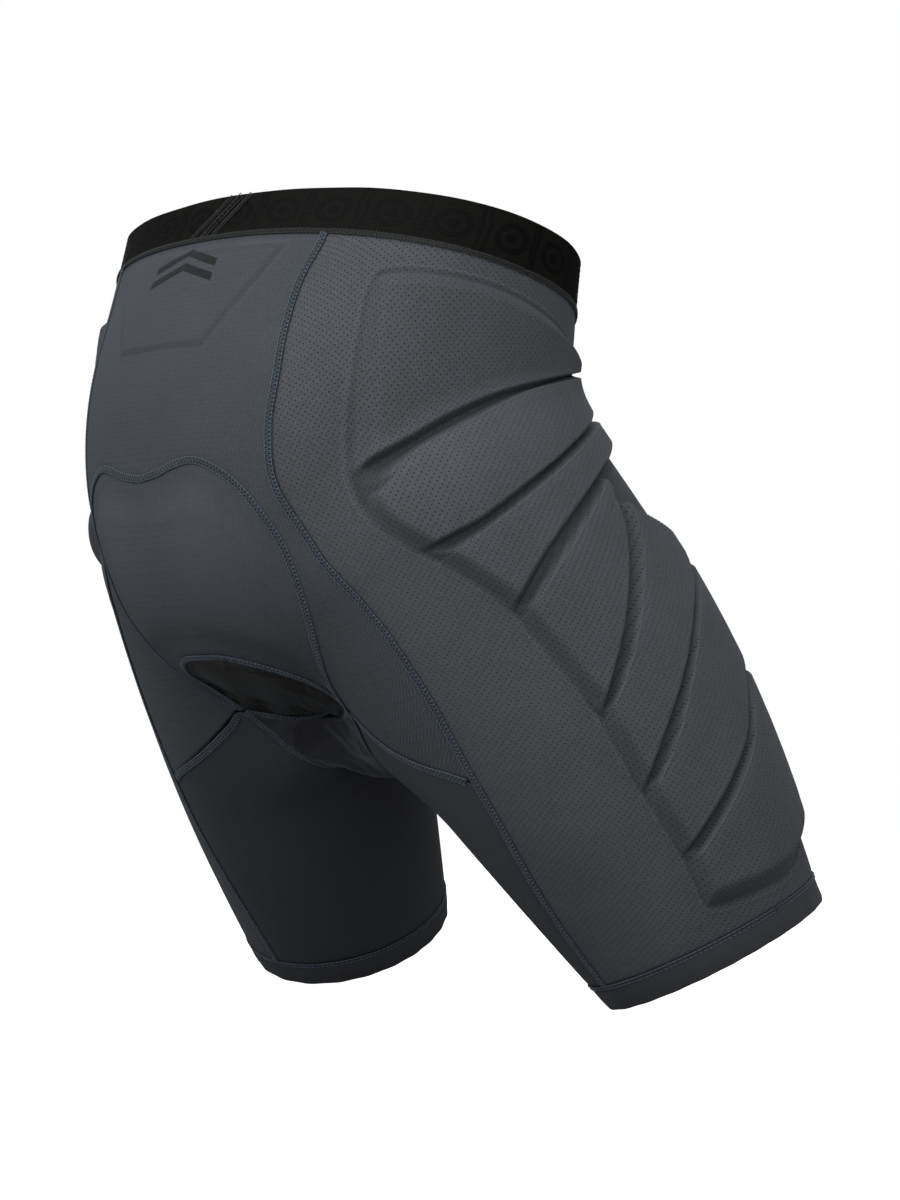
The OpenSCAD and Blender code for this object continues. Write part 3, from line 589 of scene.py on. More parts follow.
def chevrons(g, x, y, at):
    """1 inside two stacked plain chevrons, centred at (0, at) in cloth millimetres."""
    half, rise, bar, apart = 28.0, 0.3, 2.3, 4.2
    wide = g.math("ABSOLUTE", x)
    drop = g.minus(g.minus(y, at), g.mul_add(wide, rise, -rise * half / 2))
    rows = [g.ramp(g.away(drop, c), bar - 0.2, bar + 0.2) for c in (-apart, apart)]
    return g.mul(g.math("MAXIMUM", *rows), g.ramp(wide, half - 0.3, half + 0.3))


def waffle_knit(name, colour, pitch=1.3, dark=0.62, printed=None):
    """Fine knit: upright staggered cells with darker lines between them. printed is the height of a plain
    emblem on the cloth."""
    g = Graph(name)
    x, y, _ = g.uv_mm()
    stagger = g.mul_add(g.math("SINE", g.mul(y, 2 * PI / (4 * pitch))), 0.35 * pitch, x)
    cell = g.mul(g.wave(stagger, pitch), g.mul_add(g.wave(y, 2 * pitch), 0.4, 0.6))
    shade = g.colour_mix(g.ramp(cell, 0.0, 0.7, 0.9), cloudy(g, colour, 0.45), times(colour, dark))
    if printed is not None:
        shade = g.colour_mix(chevrons(g, x, y, printed), shade, (0.008, 0.008, 0.010))
    g.bump(cell, 0.0003, 0.7)
    return g.knit(shade, (35.0, 0.14), 0.68, 0.10, 0.3)


def rib_knit(name, colour, pitch=1.3, slant=0.8):
    """Fine diagonal rib of the inner leg and the cuffs."""
    g = Graph(name)
    x, y, _ = g.uv_mm()
    rib = g.wave(g.plus(x, g.mul(y, slant)), pitch)
    cross = g.wave(g.minus(y, g.mul(x, slant)), pitch * 0.7)
    shade = g.colour_mix(g.mul(rib, 0.5), cloudy(g, colour, 0.08), times(colour, 0.6))
    g.bump(g.mul_add(rib, 0.6, g.mul(cross, 0.35)), 0.00028, 0.7)
    return g.knit(shade, (30.0, 0.14), 0.66, 0.10, 0.3)


def smooth_jersey(name, colour, rough=0.5, sheen=0.18, spec=0.45):
    """Smooth jersey of the pouch and gusset, with a soft satin."""
    g = Graph(name)
    x, _, uv = g.uv_mm()
    rib = g.wave(x, 0.9)
    shade = g.colour_mix(g.mul(rib, 0.35), cloudy(g, colour, 0.12, 30.0), times(colour, 0.6))
    g.bump(g.mul_add(rib, 0.5, g.noise(uv, 60.0)), 0.0002, 0.6)
    return g.knit(shade, (20.0, 0.12), rough, sheen, spec)


def band_elastic(name):
    """Woven elastic: diagonal twill with a tonal motif of nested ovals and bars, generic."""
    repeat = 34.0
    g = Graph(name)
    x, y, uv = g.uv_mm()
    twill = g.wave(g.plus(x, y), 1.5)
    dx = g.saw(g.mul_add(g.noise(uv, 6.0, 2.0), 7.0, x), repeat)
    oval = g.length(dx, g.mul(y, 1.45))
    ring, core = g.ramp(g.away(oval, 9.5), 1.8, 2.6), g.ramp(oval, 3.6, 4.4)
    bars = g.ramp(g.away(g.math("ABSOLUTE", dx), 15.0), 0.9, 1.5)
    motif = g.math("MAXIMUM", g.math("MAXIMUM", ring, core), bars)
    olive, shadow, black = (0.0072, 0.0069, 0.0050), (0.0018, 0.0018, 0.0015), (0.0012, 0.0012, 0.0015)
    shade = g.colour_mix(motif, g.colour_mix(g.mul(twill, 0.6), olive, shadow), black)
    g.bump(g.plus(g.mul(twill, 0.7), g.mul_add(g.wave(y, 0.9), 0.3, g.mul(motif, 0.5))), 0.0003, 0.8)
    return g.finish(shade, g.mul_add(motif, -0.15, 0.72), 0.0, 0.12, (1, 0.95, 0.85))


def thread_mat(name, colour, rough=0.6):
    """Twisted polyester thread."""
    g = Graph(name)
    c = g.object_coords()
    n = g.noise(c, 900.0, 2.0)
    f = g.mul_add(n, 0.6, g.mul(g.noise(c, 30.0, 2.0), 0.4))
    g.bump(n, 0.0002, 0.6)
    return g.finish(g.colour_mix(f, times(colour, 0.6), times(colour, 1.5)), rough, 0.2, 0.45)


def foam_mat(name):
    """Fine-celled closed foam."""
    g = Graph(name)
    cells = g.add("ShaderNodeTexVoronoi", {"Vector": g.object_coords(), "Scale": 900.0}).outputs["Distance"]
    g.bump(cells, 0.0003, 0.7)
    return g.finish(g.colour_mix(cells, (0.018, 0.018, 0.02), (0.05, 0.05, 0.054)), 0.9, 0.0, 0.2)


M_SIDE = mesh_knit("side_mesh", (0.082, 0.088, 0.099), (0.014, 0.015, 0.018))
M_BODY = waffle_knit("body_waffle", (0.070, 0.077, 0.088))
M_BACK = waffle_knit("body_waffle_printed", (0.070, 0.077, 0.088), printed=-102.6)
M_SEAT = waffle_knit("seat_brushed", (0.068, 0.075, 0.087), 1.2, 0.8)
M_LEG = rib_knit("leg_rib", (0.046, 0.049, 0.057))
M_HEM = rib_knit("hem_rib", (0.050, 0.052, 0.060), 1.2, slant=0.0)
M_POUCH = smooth_jersey("pouch_jersey", (0.022, 0.023, 0.027))
M_GUSSET = smooth_jersey("gusset_jersey", (0.0090, 0.0086, 0.0084), 0.42, 0.05, 0.35)
M_BAND = band_elastic("band_elastic")
M_THREAD = thread_mat("thread_navy", (0.095, 0.118, 0.150))
M_RIDGE = thread_mat("thread_bed", (0.020, 0.026, 0.036), 0.8)
M_BLACK = thread_mat("thread_black", (0.004, 0.004, 0.004))
M_OLIVE = thread_mat("thread_olive", (0.012, 0.012, 0.010))
M_CREASE = thread_mat("thread_crease", (0.150, 0.156, 0.168))
M_FOAM = foam_mat("foam")
M_LINING = waffle_knit("lining_knit", (0.05, 0.053, 0.058), 1.2, 0.8)


# ---------------------------------------------------------------- shaping of the panels
def pad_distance(q):
    """Distance into each segment, in millimetres of the flat chart; segments in order down the leg."""
    return np.array([inside(q, loop) for loop in OUTLINES.values()])


def rounded_loop(loop, times=2):
    """The loop with its corners cut round."""
    for _ in range(times):
        after = np.roll(loop, -1, 0)
        loop = np.stack([loop * 0.75 + after * 0.25, loop * 0.25 + after * 0.75], 1).reshape(-1, 2)
    return loop


# Outline of the whole padded field, just outside the segments, as [angle, k]
FIELD = rounded_loop(flat([
    [62, 0.128], [69, 0.25], [77.5, 0.372], [78, 0.40], [76.5, 0.437], [71, 0.472], [61, 0.507],
    [53, 0.540], [46, 0.572], [44.5, 0.592], [39, 0.645], [34, 0.70], [33.5, 0.728], [32, 0.80],
    [32, 0.815], [30, 0.875], [30.5, 0.893], [33, 0.938], [29, 0.946], [8, 0.952], [-17, 0.956],
    [-38, 0.936], [-53, 0.91], [-53.5, 0.70], [-52, 0.53], [-50, 0.495], [-47, 0.42], [-46, 0.345],
    [-46, 0.20], [-45, 0.170], [-15, 0.137], [10, 0.117], [30, 0.111], [52, 0.114]]))


def relief(a, k):
    """Height of the side panel over the worn surface, and its tone: painted shade in the grooves, in the
    trough inside the pressed line and under each segment's lower edge, and painted highlight along the
    pressed line and the segments' edges. The field of segments rises inside a pressed line. Each groove drops
    steeply from the segment above and climbs gently to the one below."""
    q = flat(np.stack([a, k], -1))
    field, pads = inside(q, FIELD), pad_distance(q)
    pad, out = pads.max(0), np.maximum(-pads, 0)
    near = np.argsort(out, axis=0)[:2]
    first, second = np.take_along_axis(out, near, 0)
    lower = np.where(near[0] > near[1], first, second)
    reach = first + second + 1e-6
    climb = 1 - smooth(lower / reach / 0.8)
    between_two = (np.abs(near[0] - near[1]) == 1) * smooth((17 - reach) / 5)
    rise = np.maximum(smooth((pad + 1.2) / 3.6), climb * between_two)
    rise = np.maximum(rise, smooth((pad + 3.4) / 5.4) * (1 - between_two))
    outer = 0.7 * np.exp(-((field - 0.8) / 0.9) ** 2) + (PAD_RISE - 0.6) * smooth((field - 2.6) / 11.5)
    h = soft_min(outer, 1.0 + (PAD_RISE - 1.4) * rise, 1.2)
    h = np.where(field > 0, h, 0) * smooth((HEM_K - k) / 0.014)
    deep = (1 - rise) * smooth((field - 1.5) / 5)
    wall = np.exp(-((pad + 0.2) / 1.6) ** 2) * (lower > first) * between_two
    edge = np.exp(-((pad - 2.8) / 1.6) ** 2) * smooth(field / 6)
    lip, trough = np.exp(-((field - 0.8) / 0.8) ** 2), np.exp(-((field - 3.6) / 1.7) ** 2)
    # tone is painted light: painted shade in the grooves (deep), under the upper segment's edge (wall) and in
    # the trough, painted highlight on the pressed line (lip) and along the segments' edges (edge)
    tone = PLAIN_TONE - 0.27 * deep ** 0.7 - 0.14 * wall + 0.12 * lip - 0.17 * trough + 0.07 * edge
    return np.maximum(h, 0), tone


def edge_sink(p, sides, depth=0.45, reach=2.2):
    """How far a panel dips along its sewn edges, puckered by the stitches."""
    d = edge_distance(p, sides)
    along = arc_uv(p).sum(-1)
    pucker = 0.5 + 0.5 * np.sin(along * 2 * PI / 7.3 + 1.3 * np.sin(along / 11.0))
    return -depth * np.exp(-d / reach) - 0.28 * pucker * np.exp(-d / (reach * 1.6)) * (d < 60)


def make_side_panels(rows=300, cols=200):
    u = np.linspace(0, 1, cols)
    tops = waist_k(value_at(FRONT_SEAM, FRONT_TOP_K) * (1 - u) + value_at(REAR_SEAM, REAR_TOP_K) * u)
    k = tops[None] + (TOP_HEM_K - tops[None]) * np.linspace(0, 1, rows)[:, None]
    lo, hi = value_at(FRONT_SEAM, k) + SLIT, value_at(REAR_SEAM, k) - SLIT
    a = lo + (hi - lo) * u[None]
    p, n = chart(a, k)
    h, tone = relief(a, k)
    g = p + n * (h + edge_sink(p, "lrtb", 0.5))[..., None]
    net = np.s_[::2, ::2]
    held = pad_distance(flat(np.stack([a[net], k[net]], -1))).max(0) < 1.5
    g = g + spread(cloth_moves(g[net], n[net], held, 1.6, pressure=4.0), rows, cols)
    nn = grid_normals(g, n)
    # painted shade: darker where the settled cloth faces more upward than the worn surface
    tone = tone - 0.2 * np.clip((nn - n)[..., 2], 0, 0.8)
    cloth_pair("side_panel", "mesh", g, nn, M_SIDE, "side_mesh", uv=arc_uv(p), tone=tone,
               rests=["hip_pad_upper", "thigh_pad_3"])


def make_linings():
    t, u = np.linspace(0, 1, 60), np.linspace(0, 1, 24)[None]
    rear, front = curve_at(POCKET_REAR, t), curve_at(POCKET_FRONT, t)
    q = rear[:, None] + (front - rear)[:, None] * u[..., None]
    p, n = chart(q[..., 0], q[..., 1])
    cloth_pair("side_lining", "knit", p, n, M_LINING, "lining", lo=-3.2, hi=-2.4)


def foam_piece(name, node, top, bottom, n):
    ob = shell_piece(name, node, top, bottom, n, M_FOAM)


def make_foam(rows=22, cols=44):
    """The segments: crowned, with bevelled edges a little inside their outlines."""
    inset, bevel, base, edge, top_h = 2.5, 8.0, -0.8, 2.0, PAD_RISE - CLOTH - 0.9
    for name, pad in PADS.items():
        u, v = np.linspace(0, 1, cols), np.linspace(0, 1, rows)[:, None, None]
        a, b = curve_at(pad[0], u), curve_at(pad[1], u)
        gap = np.linalg.norm(flat(b) - flat(a), axis=-1)
        ends = (inset / np.maximum(gap, 4 * inset))[:, None]
        q = a + (b - a) * (ends + (1 - 2 * ends) * v)
        width = np.linalg.norm(flat(q[:, -1]) - flat(q[:, 0]), axis=-1)
        pull = np.minimum(0.4, inset / width)[:, None]
        w = pull + (1 - 2 * pull) * u[None]
        i = np.minimum((w * (cols - 1)).astype(int), cols - 2)
        f = (w * (cols - 1) - i)[..., None]
        q = np.take_along_axis(q, i[..., None], 1) * (1 - f) + np.take_along_axis(q, i[..., None] + 1, 1) * f
        d = inside(flat(q), OUTLINES[name])
        h = edge + (top_h - edge) * smooth((d - inset) / bevel)
        h = np.minimum(h, relief(q[..., 0], q[..., 1])[0] - CLOTH - 0.25)[..., None]
        p, n = chart(q[..., 0], q[..., 1])
        for side, mirror in SIDES:
            m = FLIP if mirror else np.ones(3)
            foam_piece(f"{name}_{side}_foam", f"{name}_{side}", (p + n * h) * m, (p + n * base) * m, n * m)


def between(line_a, line_b, rows, trim_a=GAP, trim_b=GAP):
    """A grid on the worn surface between two lines, stopping short of each."""
    d = np.maximum(np.linalg.norm(line_b - line_a, axis=-1), 4 * GAP)[:, None]
    v = np.linspace(0, 1, rows)[:, None, None]
    t = trim_a / d + (1 - trim_a / d - trim_b / d) * v
    return settle(line_a + (line_b - line_a) * t)


def both_sides(line):
    """A line that starts at the middle, joined to its mirror image."""
    return np.concatenate([(line * FLIP)[::-1], line[1:]])


def seam_line(table, lo, hi, n):
    k = np.linspace(lo, hi, n)
    return chart(value_at(table, k), k)[0]


TAIL_SHAPE = [[74, 34], [64, 52], [51, 74], [38, 95]]


def tail_outline():
    """Outline of the tailbone pad as [x, distance below the waist], corners kept."""
    left = curve_at(TAIL_SHAPE, np.linspace(0, 1, 10))
    return np.concatenate([left, left[::-1] * np.array([-1, 1])])


def back_rise(p):
    """The tailbone pad shows as a low raised trapezoid with a crease along its edge: height, and a tone of
    painted highlight along the crease and painted shade just inside it.
    """
    q = np.stack([p[..., 0], p @ WAIST_DOWN], -1)
    d = inside(q, tail_outline())
    on_back = (p @ WAIST_BACK) > 0
    crease = np.exp(-((d + 1.2) / 0.9) ** 2)
    h = 1.1 * smooth((d + 1.5) / 6.0) + 0.25 * crease
    # painted highlight on the crease just outside the outline, painted shade just inside it
    tone = PLAIN_TONE + 0.12 * crease - 0.12 * np.exp(-((d - 1.8) / 1.8) ** 2)
    return np.where(on_back, h, 0), np.where(on_back, tone, PLAIN_TONE)


def body_uv(p):
    """Cloth coordinates for the back and the seat: round the body, and down over the seat."""
    x, y, drop = p[..., 0], p[..., 1], -(p[..., 2] + 120)
    v = 125 * np.arctan2(drop, y + 25)
    return np.stack([128 * np.arctan2(x, y + 10), np.where(drop < 0, drop, v)], -1)


def make_back_panel(rows=110, waist=50, side=150):
    corner = 0.36
    outer = np.concatenate([trunk_pt(EDGE_S, np.linspace(90, REAR_CORNER, waist)),
                            seam_line(REAR_SEAM, REAR_TOP_K, LOW_K - 0.001, side)[1:]])
    inner = np.concatenate([curve_at(SEAT_LINE, np.linspace(0, corner, waist)),
                            curve_at(SEAT_LINE, np.linspace(corner, 0.985, side))[1:]])
    from_middle = np.abs(np.arange(1 - len(inner), len(inner)))
    trim = np.where(from_middle < waist, 0.05, GAP)[:, None]
    p, n = between(both_sides(inner), both_sides(outer), rows, GAP, trim)
    h, tone = back_rise(p)
    g = p + n * (h + edge_sink(p, "tb"))[..., None]
    cloth_piece("back_panel_knit", "back_panel", g, grid_normals(g, n), M_BACK, "body_knit", uv=body_uv(p),
                rests=["tailbone_pad"], tone=tone, inner_shift=400.0)


def make_seat_panel():
    outer = both_sides(curve_at(SEAT_LINE, np.linspace(0, 0.985, 110)))
    inner = both_sides(curve_at(GUSSET_LINE, np.linspace(0, 0.985, 110)))
    p, n = between(outer, inner, 80)
    x, z, d = np.abs(p[..., 0]), p[..., 2], edge_distance(p, "tb")
    lobe = np.exp(-(((x - 30) / 26) ** 2)) + 0.55
    crown = 2.4 * smooth((d - 7) / 22) * smooth((80 - x) / 34) * lobe
    g = p + n * (crown + edge_sink(p, "tb", 0.5, 2.4))[..., None]
    # painted highlight on the upper part of the crown's lobes, painted shade towards the bottom of the seat
    painted_seat_highlight, dark = 0.12 * lobe * smooth((d - 6) / 30) * smooth((z + 225) / 70), 0.12 * smooth((-195 - z) / 40)
    cloth_piece("seat_panel_knit", "seat_panel", g, grid_normals(g, n), M_SEAT, "seat_knit", uv=body_uv(p),
                rests=["seat_pad"], tone=PLAIN_TONE + painted_seat_highlight - dark)


def make_gusset():
    rear = both_sides(curve_at(GUSSET_LINE, np.linspace(0, 0.995, 60)))
    front = both_sides(curve_at(CROSS_LINE, np.linspace(0, 0.995, 60)))
    p, n = between(rear, front, 50, 0.4, 0.1)
    u, v = arc_uv(p)[..., 0], arc_uv(p)[..., 1]
    fold = np.sin((u * 0.8 + v * 0.55) / 6.5 + 0.8 * np.sin(v / 13))
    d = edge_distance(p, "tb")
    g = p + n * (0.8 * fold * smooth(d / 16) + edge_sink(p, "tb", 0.5, 2.4))[..., None]
    g = g + cloth_moves(g, n, d < 1.0, 2.5, slack=0.05, frames=24)
    # painted highlight: a bright patch on the folds near the gusset's rear seam, to one side
    painted_highlight = np.exp(-((p[..., 0] + 22) / 15) ** 2 - ((d - 7) / 5) ** 2) * (p[..., 1] > 60)
    cloth_piece("crotch_gusset_jersey", "crotch_gusset", g, grid_normals(g, n), M_GUSSET, "pouch_jersey",
                tone=PLAIN_TONE + 2.2 * painted_highlight, uv=p[..., :2])


def pouch_edge(v):
    q = curve_at(POUCH_PATH, v)
    return chart(q[..., 0], q[..., 1])[0]


def make_pouch(rows=110, cols=90):
    """Loose jersey hung between its two side seams, the cross seam below and the waistband above."""
    v = np.linspace(0, 1, rows)
    e = pouch_edge(v)
    belly = trunk_pt(EDGE_S, -90) - e[-1]
    u = np.linspace(-1, 1, cols)[None]
    start = curve_at(CROSS_LINE, np.abs(u[0])) - np.array([0, 0.2, 0]) - np.array(JUNCTION)
    bulge_k = np.minimum(1, 2 * v)[:, None] * (1 - u * u) ** 2
    v = v[:, None]
    near = (1 - v) ** 3
    x = e[:, :1] * u * (1 - GAP / np.abs(e[:, :1]))
    y = e[:, 1:2] + start[None, :, 1] * near + (belly[1] - 10 * np.sin(PI * v)) * bulge_k
    z = e[:, 2:3] + start[None, :, 2] * near + belly[2] * bulge_k
    g = np.stack([x, y, z], -1)
    n = grid_normals(g, g - np.array([0, 0, -150]))
    uv = arc_uv(g)
    across, down = uv[..., 0], uv[..., 1]
    fade = smooth((1 - np.abs(u)) / 0.35) * smooth(v / 0.08) * smooth((1 - v) / 0.15)
    fold = (1.9 * np.sin((across * 0.9 + down * 0.5) / 8.5 + np.sin(down / 21))
            + 1.0 * np.sin((across * -0.7 + down * 0.9) / 6.1 + 1.0))
    low = smooth((0.75 - v) / 0.4)
    g = g + n * (fold * fade * (0.25 + 0.75 * low))[..., None]
    rim = (np.abs(u) > 0.97) | (v < 0.02) | (v > 0.98)
    g = g + cloth_moves(g, n, rim, 2.5, slack=0.03, frames=24)
    cloth_piece("front_pouch_jersey", "front_pouch", g, grid_normals(g, n), M_POUCH, "pouch_jersey", uv=uv)


def sewn_panel(p, n):
    """The points of a panel sunk along its four sewn edges, with their normals."""
    g = p + n * edge_sink(p, "lrtb")[..., None]
    return g, grid_normals(g, n)


def make_front_panels(rows=110, cols=60):
    v, u = np.linspace(0, 1, rows)[:, None], np.linspace(0, 1, cols)[None]
    inner = curve_at(POUCH_PATH, FORK + (1 - FORK) * v[:, 0])
    k = FRONT_LOW_K + (FRONT_TOP_K - FRONT_LOW_K) * v[:, 0]
    outer = np.stack([360 + value_at(FRONT_SEAM, k) - SLIT, k], -1)
    ia = inner + np.array([SLIT, 0])
    q = ia[:, None] + (outer - ia)[:, None] * u[..., None]
    base_k = inner[:, None, 1] + (outer - inner)[:, None, 1] * u
    kk = q[..., 1] + (waist_k(q[..., 0]) - base_k) * v ** 20 - 0.002 * (1 - v) ** 8
    p, n = chart(q[..., 0], kk)
    cloth_pair("front_panel", "knit", *sewn_panel(p, n), M_BODY, "body_knit")


def leg_top_k(a):
    line = FORK_PT[1] + 0.002 + (FRONT_LOW_K - FORK_PT[1]) * (a - FORK_PT[0]) / (FRONT_LOW_PT[0] - FORK_PT[0])
    return np.where(a < FORK_PT[0], value_at(LEG_TOP, a), line)


def make_leg_panels(rows=80, cols=150):
    v, u = np.linspace(0, 1, rows)[:, None], np.linspace(0, 1, cols)[None]
    a0 = 83 + (FRONT_LOW_PT[0] - 83) * u
    k = (leg_top_k(a0) + 0.0015) * (1 - v) + TOP_HEM_K * v
    a = (value_at(REAR_SEAM, k) + SLIT) * (1 - u) + (360 + value_at(FRONT_SEAM, k) - SLIT) * u
    cloth_pair("leg_panel", "rib", *sewn_panel(*chart(a, k)), M_LEG, "leg_knit")


def ring_piece(name, node, loop, around, drop, like_at, like, mat):
    """A ring from rows of points that close both ways. around and drop are its cloth coordinates, and like
    is the outward normal at the row and column like_at."""
    rows, cols = loop.shape[:2]
    verts = loop.reshape(-1, 3)
    faces = outward(verts, loop_faces(rows, cols), loop[like_at], like)
    uv = np.stack(np.broadcast_arrays(around[None], drop[:, None]), -1).reshape(-1, 2)
    ob = new_object(name, verts, faces, uv, [mat])
    finish_piece(ob, node)
    return ob


def make_hems(cols=260, rows=14, turns=5):
    """Turned hems: two layers of cloth with a rounded fold at the lower edge."""
    thick, height = 1.9, 13
    a = np.arange(cols) * 360 / cols
    top_k, end_k = HEM_K + 0.0015, 0.9965
    v = np.linspace(0, 1, rows)[:, None]
    k = np.linspace(top_k, end_k, rows)[:, None]
    p, n = chart(a[None], k)
    wave = 0.25 * np.sin(np.radians(a) * 23) * v
    top = p + n * (wave + 0.35 * np.sin(PI * v))[..., None]
    bottom = p + n * (wave - thick)[..., None]
    end, end_n = chart(a, np.full(cols, end_k))
    down = unit(end - chart(a, np.full(cols, end_k - 0.01))[0])
    middle = end + end_n * (wave[-1] - thick / 2)[:, None]
    angles = np.linspace(0.3, PI - 0.3, turns)
    fold = [middle + end_n * cos(t) * thick / 2 + down * sin(t) * 1.3 for t in angles]
    loop = np.concatenate([top, fold, bottom[::-1]])
    around = lengths(end)
    drop = np.concatenate([(k[:, 0] - top_k) * LENGTH_MM, height + np.arange(turns) * 0.6,
                           height + 3 + (end_k - k[::-1, 0]) * LENGTH_MM])
    for side, mirror in SIDES:
        m = FLIP if mirror else np.ones(3)
        ob = ring_piece(f"hem_cuff_{side}_turned", f"hem_cuff_{side}", loop * m, around, drop, (7, 40),
                        (n * m)[7, 40], M_HEM)


# ---------------------------------------------------------------- waistband
def make_waistband(cols=360, rows=27, turns=4):
    """Elastic ring with rounded edges, a slight wave round it and fine ribs along it."""
    turn = np.arange(cols) * 360 / cols
    across = np.linspace(0, 1, rows)
    s = 0.9 + (BAND - 1.8) * across
    p = trunk_pt(s[:, None], turn[None])
    n = unit(slope(p))
    wobble = 0.5 * np.sin(np.radians(turn) * 9 + 0.7) + 0.3 * np.sin(np.radians(turn) * 17)
    wobble = 0.6 * wobble[None] * (0.3 + 0.7 * across[::-1, None])
    rib = 0.12 * np.cos(across * 2 * PI * 9)[:, None]
    top = p + n * (wobble + rib - 0.15)[..., None]
    bottom = p + n * (wobble - 1.7)[..., None]

    def rim(row, way):
        c, half = (top[row] + bottom[row]) / 2, (top[row] - bottom[row]) / 2
        return [c + half * cos(t) + way * sin(t) * 0.9 for t in np.linspace(0.5, PI - 0.5, turns)]

    loop = np.concatenate([top, rim(-1, WAIST_DOWN), bottom[::-1], rim(0, -WAIST_DOWN)[::-1]])
    around = lengths(trunk_pt(BAND / 2, turn))
    half, step = BAND / 2, np.arange(turns) * 0.5
    drop = np.concatenate([s - half, half + step, s[::-1] + half + 2, half * 3 + step])
    ob = ring_piece("waistband_elastic", "waistband", loop, around, drop, (13, 90), n[13, 90], M_BAND)


# ---------------------------------------------------------------- seams of real thread
def across_line(points, normals):
    """Unit vectors along the surface, square to a line."""
    return unit(np.cross(normals, unit(np.gradient(points, axis=0))))


def resample(points, normals, step, closed=False):
    """The line with its points evenly spaced, about step apart."""
    if closed:
        points = np.concatenate([points, points[:1]])
        normals = np.concatenate([normals, normals[:1]])
    d = lengths(points)
    t = np.linspace(0, d[-1], max(2, int(round(d[-1] / step)) + 1))
    p = np.stack([np.interp(t, d, points[:, i]) for i in range(3)], -1)
    m = unit(np.stack([np.interp(t, d, normals[:, i]) for i in range(3)], -1))
    return p, m


def tube(path, ups, radius, sides):
    """A thread along path, slightly flattened: (verts, faces, caps)."""
    t = unit(np.gradient(path, axis=0))
    side = unit(np.cross(ups, t))
    up = np.cross(t, side)
    ang = (np.arange(sides) * 2 * PI / sides)[None, :, None]
    r = np.full(len(path), radius)
    r[0] = r[-1] = radius * 0.45
    ring = np.cos(ang) * side[:, None] + 0.75 * np.sin(ang) * up[:, None]
    verts = (path[:, None] + ring * r[:, None, None]).reshape(-1, 3)
    first = np.arange(sides)
    return verts, grid_faces(len(path), sides, True), [first[::-1], (len(path) - 1) * sides + first]


class Threads:
    """Gathers many small tubes into one mesh."""

    def __init__(self):
        self.verts, self.quads, self.caps, self.mats, self.cap_mats, self.n = [], [], [], [], [], 0

    def add(self, verts, faces, caps, mat):
        self.verts.append(verts)
        self.quads.append(faces + self.n)
        self.mats.append(np.full(len(faces), mat))
        self.caps += [(c + self.n).tolist() for c in caps]
        self.cap_mats += [mat] * len(caps)
        self.n += len(verts)

    def tube(self, path, ups, radius, sides=4):
        self.add(*tube(path, ups, radius, sides), 0)

    def build(self, name, mats, flip=False):
        verts = np.concatenate(self.verts)
        faces = np.concatenate(self.quads).tolist() + self.caps
        if flip:
            verts = verts * FLIP
            faces = [f[::-1] for f in faces]
        mesh = bpy.data.meshes.new(name)
        mesh.from_pydata((verts * MM).tolist(), [], faces)
        for m in mats:
            mesh.materials.append(m)
        slots = np.concatenate([*self.mats, self.cap_mats]).astype(int)
        mesh.polygons.foreach_set("material_index", slots)
        mesh.shade_smooth()
        mesh.update()
        return place(name, mesh)


def ridge(threads, p, n, half, height, closed=False, tongue=0.4):
    """A low rounded bed under the stitches, with a tongue that fills the join."""
    side = across_line(p, n)
    right = [(half * 0.75, height * 0.8), (half, 0.0), (half * 0.7, -0.45), (tongue, -0.55),
             (tongue * 0.9, -1.4)]
    left = [(-x, y) for x, y in right]
    prof = left[1::-1] + [(0, height)] + right + left[:1:-1]
    m = len(prof)
    verts = np.stack([p + side * x + n * y for x, y in prof], 1).reshape(-1, 3)
    faces = loop_faces(len(p), m) if closed else grid_faces(len(p), m, True)
    caps = [] if closed else [np.arange(m)[::-1], (len(p) - 1) * m + np.arange(m)]
    threads.add(verts, faces, caps, 1)


def zigzag(count):
    return np.where(np.arange(count) % 2, 1.0, -1.0)[:, None]


def flatlock(node, line, pair=False, half=1.7, lift=0.45, cell=2.3, closed=False, radius=0.25, mats=None):
    """A flat seam: a low bed, two rows of stitches and the thread that zigzags between them. A pair is sewn
    on both sides of the body."""
    th = Threads()
    p, n = resample(*line, cell / 2, closed)
    if closed:
        whole = (len(p) - 1) // 2 * 2
        p, n = p[:whole], n[:whole]
    side = across_line(p, n)
    ridge(th, p, n, half + 0.25, lift, closed)
    top, count = lift + 0.10, len(p)
    zig = p + side * (zigzag(count) * half) + n * (top + 0.05)
    path = np.empty((2 * count - 1, 3))
    path[0::2], path[1::2] = zig, (zig[1:] + zig[:-1]) / 2 + (n[1:] + n[:-1]) / 2 * 0.28
    th.tube(path, np.repeat(n, 2, 0)[:-1], radius)
    arch = top + np.array([-0.25, 0.12, 0.2, 0.12, -0.25])[:, None]
    for s in (-1, 1):
        row = p + side * (s * half)
        for i in range(0, count - 2, 2):
            a, b, c = row[i:i + 3]
            th.tube(np.stack([a, (a + b) / 2, b, (b + c) / 2, c]) + n[i] * arch, np.repeat(n[i:i + 1], 5, 0),
                    radius * 1.15)
    for part, flip in [(f"{node}_{side}", flip) for side, flip in SIDES] if pair else [(node, False)]:
        finish_piece(th.build(f"{part}_flatlock", mats or [M_THREAD, M_RIDGE], flip), part)


def running_stitch(th, p, n, offset):
    """A line of separate short stitches lying on the cloth, offset to one side of the line."""
    length, skip, radius, lift, step = 2.4, 0.8, 0.26, 0.45, 0.5
    q, m = resample(p, n, step)
    side = across_line(q, m)
    q = q + side * offset
    run, pitch = round(length / step), round((length + skip) / step)
    for i in range(0, len(q) - run - 1, pitch):
        seg, up = q[i:i + run + 1], m[i:i + run + 1]
        arch = np.sin(PI * np.linspace(0, 1, len(seg)))
        th.tube(seg + up * (lift + 0.28 * (arch - 0.6))[:, None], up, radius)


